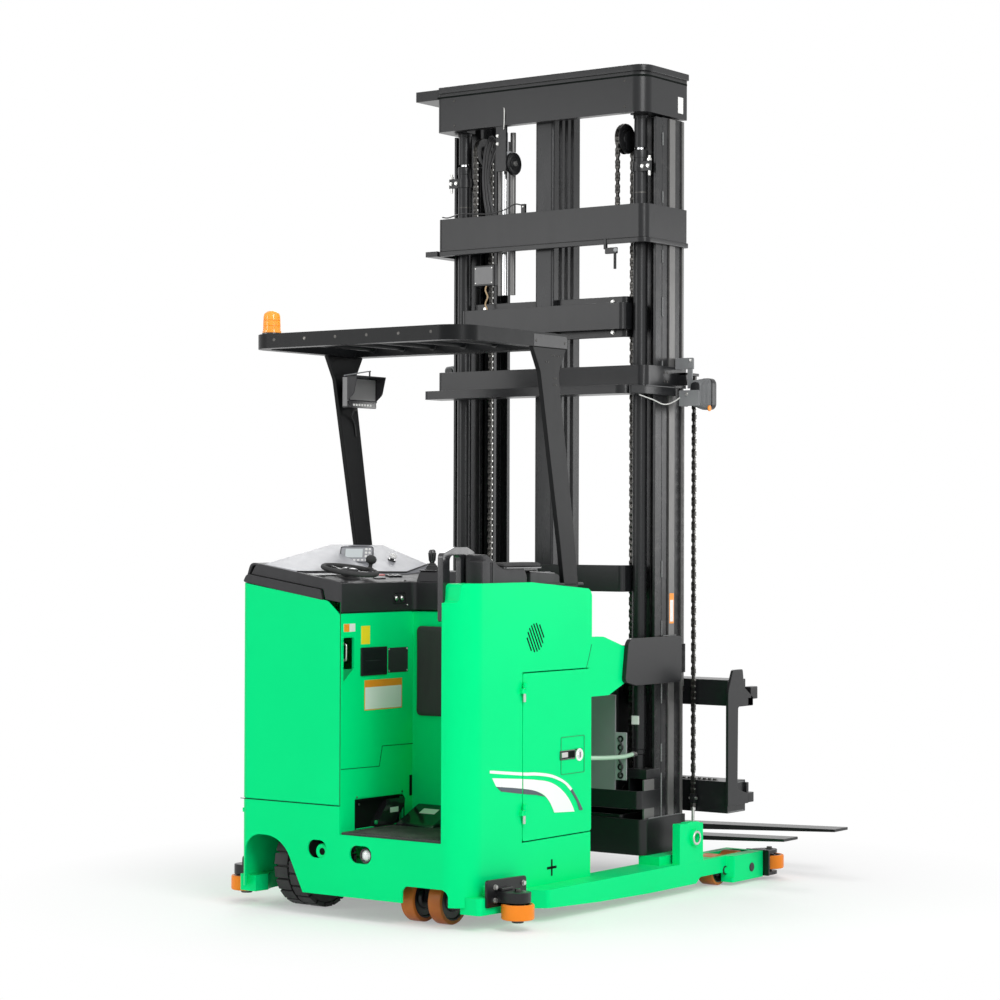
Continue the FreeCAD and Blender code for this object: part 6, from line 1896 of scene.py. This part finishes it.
def make_sky(scene, stage):
    world = scene.world or bpy.data.worlds.new("studio")
    scene.world = world
    world.use_nodes = True
    tree = world.node_tree
    tree.nodes.clear()
    air = node(tree, "ShaderNodeBackground", (-200, 0))
    feed(tree, air, {"Color": (1.0, 1.0, 1.0, 1.0), "Strength": stage.sky})
    white = node(tree, "ShaderNodeBackground", (-200, -150))
    feed(tree, white, {"Color": (1.0, 1.0, 1.0, 1.0), "Strength": 1.0})
    blend = node(tree, "ShaderNodeMixShader", (0, 0))
    feed(tree, blend, {0: seen_rays(tree, -600, 200), 1: air.outputs[0], 2: white.outputs[0]})
    output = node(tree, "ShaderNodeOutputWorld", (200, 0))
    feed(tree, output, {"Surface": blend.outputs[0]})


def make_light(name, place, aim, size, power):
    lamp = bpy.data.lights.new(name, "AREA")
    lamp.shape, lamp.size, lamp.energy = "DISK", size, power
    item = bpy.data.objects.new(name, lamp)
    item.location = place
    way = Vector(aim) - Vector(place)
    item.rotation_euler = way.to_track_quat("-Z", "Y").to_euler()
    bpy.context.scene.collection.objects.link(item)


def make_camera(scene):
    lens = bpy.data.cameras.new("camera")
    lens.lens, lens.sensor_width = 93.3, 36.0
    lens.clip_start, lens.clip_end = 0.1, 200.0
    item = bpy.data.objects.new("camera", lens)
    turn, tilt, roll = radians(35.964), radians(0.637), radians(0.198)
    ahead = Vector((cos(turn) * cos(tilt), sin(turn) * cos(tilt), sin(tilt)))
    item.rotation_mode = "QUATERNION"
    look = ahead.to_track_quat("-Z", "Y")
    item.rotation_quaternion = look @ Matrix.Rotation(roll, 3, "Z").to_quaternion()
    item.location = at(-7704, -6301, 1499)
    scene.collection.objects.link(item)
    scene.camera = item


def make_stage():
    scene, stage = bpy.context.scene, settings().stage
    make_floor(stage)
    make_sky(scene, stage)
    make_light("key", (-3.2, -5.2, 5.6), (0.0, 0.0, 1.4), 4.2, stage.key_power)
    make_light("fill", (-6.4, 4.2, 3.0), (0.0, 0.0, 1.4), 3.4, stage.fill_power)
    make_light("side", (5.4, -4.6, 2.2), (0.2, 0.0, 1.6), 2.4, stage.fill_power * 0.6)
    make_light("back", (4.0, 3.5, 5.5), (0.2, 0.0, 1.8), 3.0, stage.fill_power)
    make_light("glint", (-3.4, -5.6, 2.6), (0.3, -0.3, 2.2), 1.1, stage.fill_power * 0.35)
    make_camera(scene)
    scene.view_settings.view_transform = "Standard"


class TRUCK_OT_stage(bpy.types.Operator):
    """Lays the pale floor, sets the lights and the camera"""
    bl_idname = "truck.stage"
    bl_label = "Stage"

    def execute(self, context):
        make_stage()
        return {"FINISHED"}


# panel

PIECES = (TRUCK_OT_finishes, TRUCK_OT_steelwork, TRUCK_OT_wheels, TRUCK_OT_cover_trim,
    TRUCK_OT_step_in, TRUCK_OT_side_trim, TRUCK_OT_leg_trim, TRUCK_OT_console, TRUCK_OT_steering,
    TRUCK_OT_controls, TRUCK_OT_step, TRUCK_OT_guard_fittings, TRUCK_OT_mast_rails, TRUCK_OT_lift,
    TRUCK_OT_spot_lamps, TRUCK_OT_inner_column, TRUCK_OT_carriage_details)


class TRUCK_PT_panel(bpy.types.Panel):
    """Sizes, colours and pieces of the truck"""
    bl_label = "Turret truck"
    bl_idname = "TRUCK_PT_panel"
    bl_space_type = "VIEW_3D"
    bl_region_type = "UI"
    bl_category = "Turret truck"

    def draw(self, context):
        truck = context.scene.turret_truck
        for title, group in (("Paint", truck.paint), ("Detail", truck.detail),
                ("Stage", truck.stage)):
            area = self.layout.box()
            area.label(text=title)
            for name in group.bl_rna.properties.keys():
                if name not in ("rna_type", "name"):
                    area.prop(group, name)
        area = self.layout.box()
        area.label(text="Pieces")
        for piece in PIECES + (TRUCK_OT_stage,):
            area.operator(piece.bl_idname)


CLASSES = (PaintSettings, DetailSettings, StageSettings, TruckSettings, *PIECES, TRUCK_OT_stage,
    TRUCK_PT_panel)


def register():
    for one in CLASSES:
        bpy.utils.register_class(one)
    bpy.types.Scene.turret_truck = PointerProperty(type=TruckSettings)


def unregister():
    del bpy.types.Scene.turret_truck
    for one in reversed(CLASSES):
        bpy.utils.unregister_class(one)


def main():
    register()
    for piece in PIECES + (TRUCK_OT_stage,):
        group, action = piece.bl_idname.split(".")
        getattr(getattr(bpy.ops, group), action)()


if __name__ == "__main__":
    main()
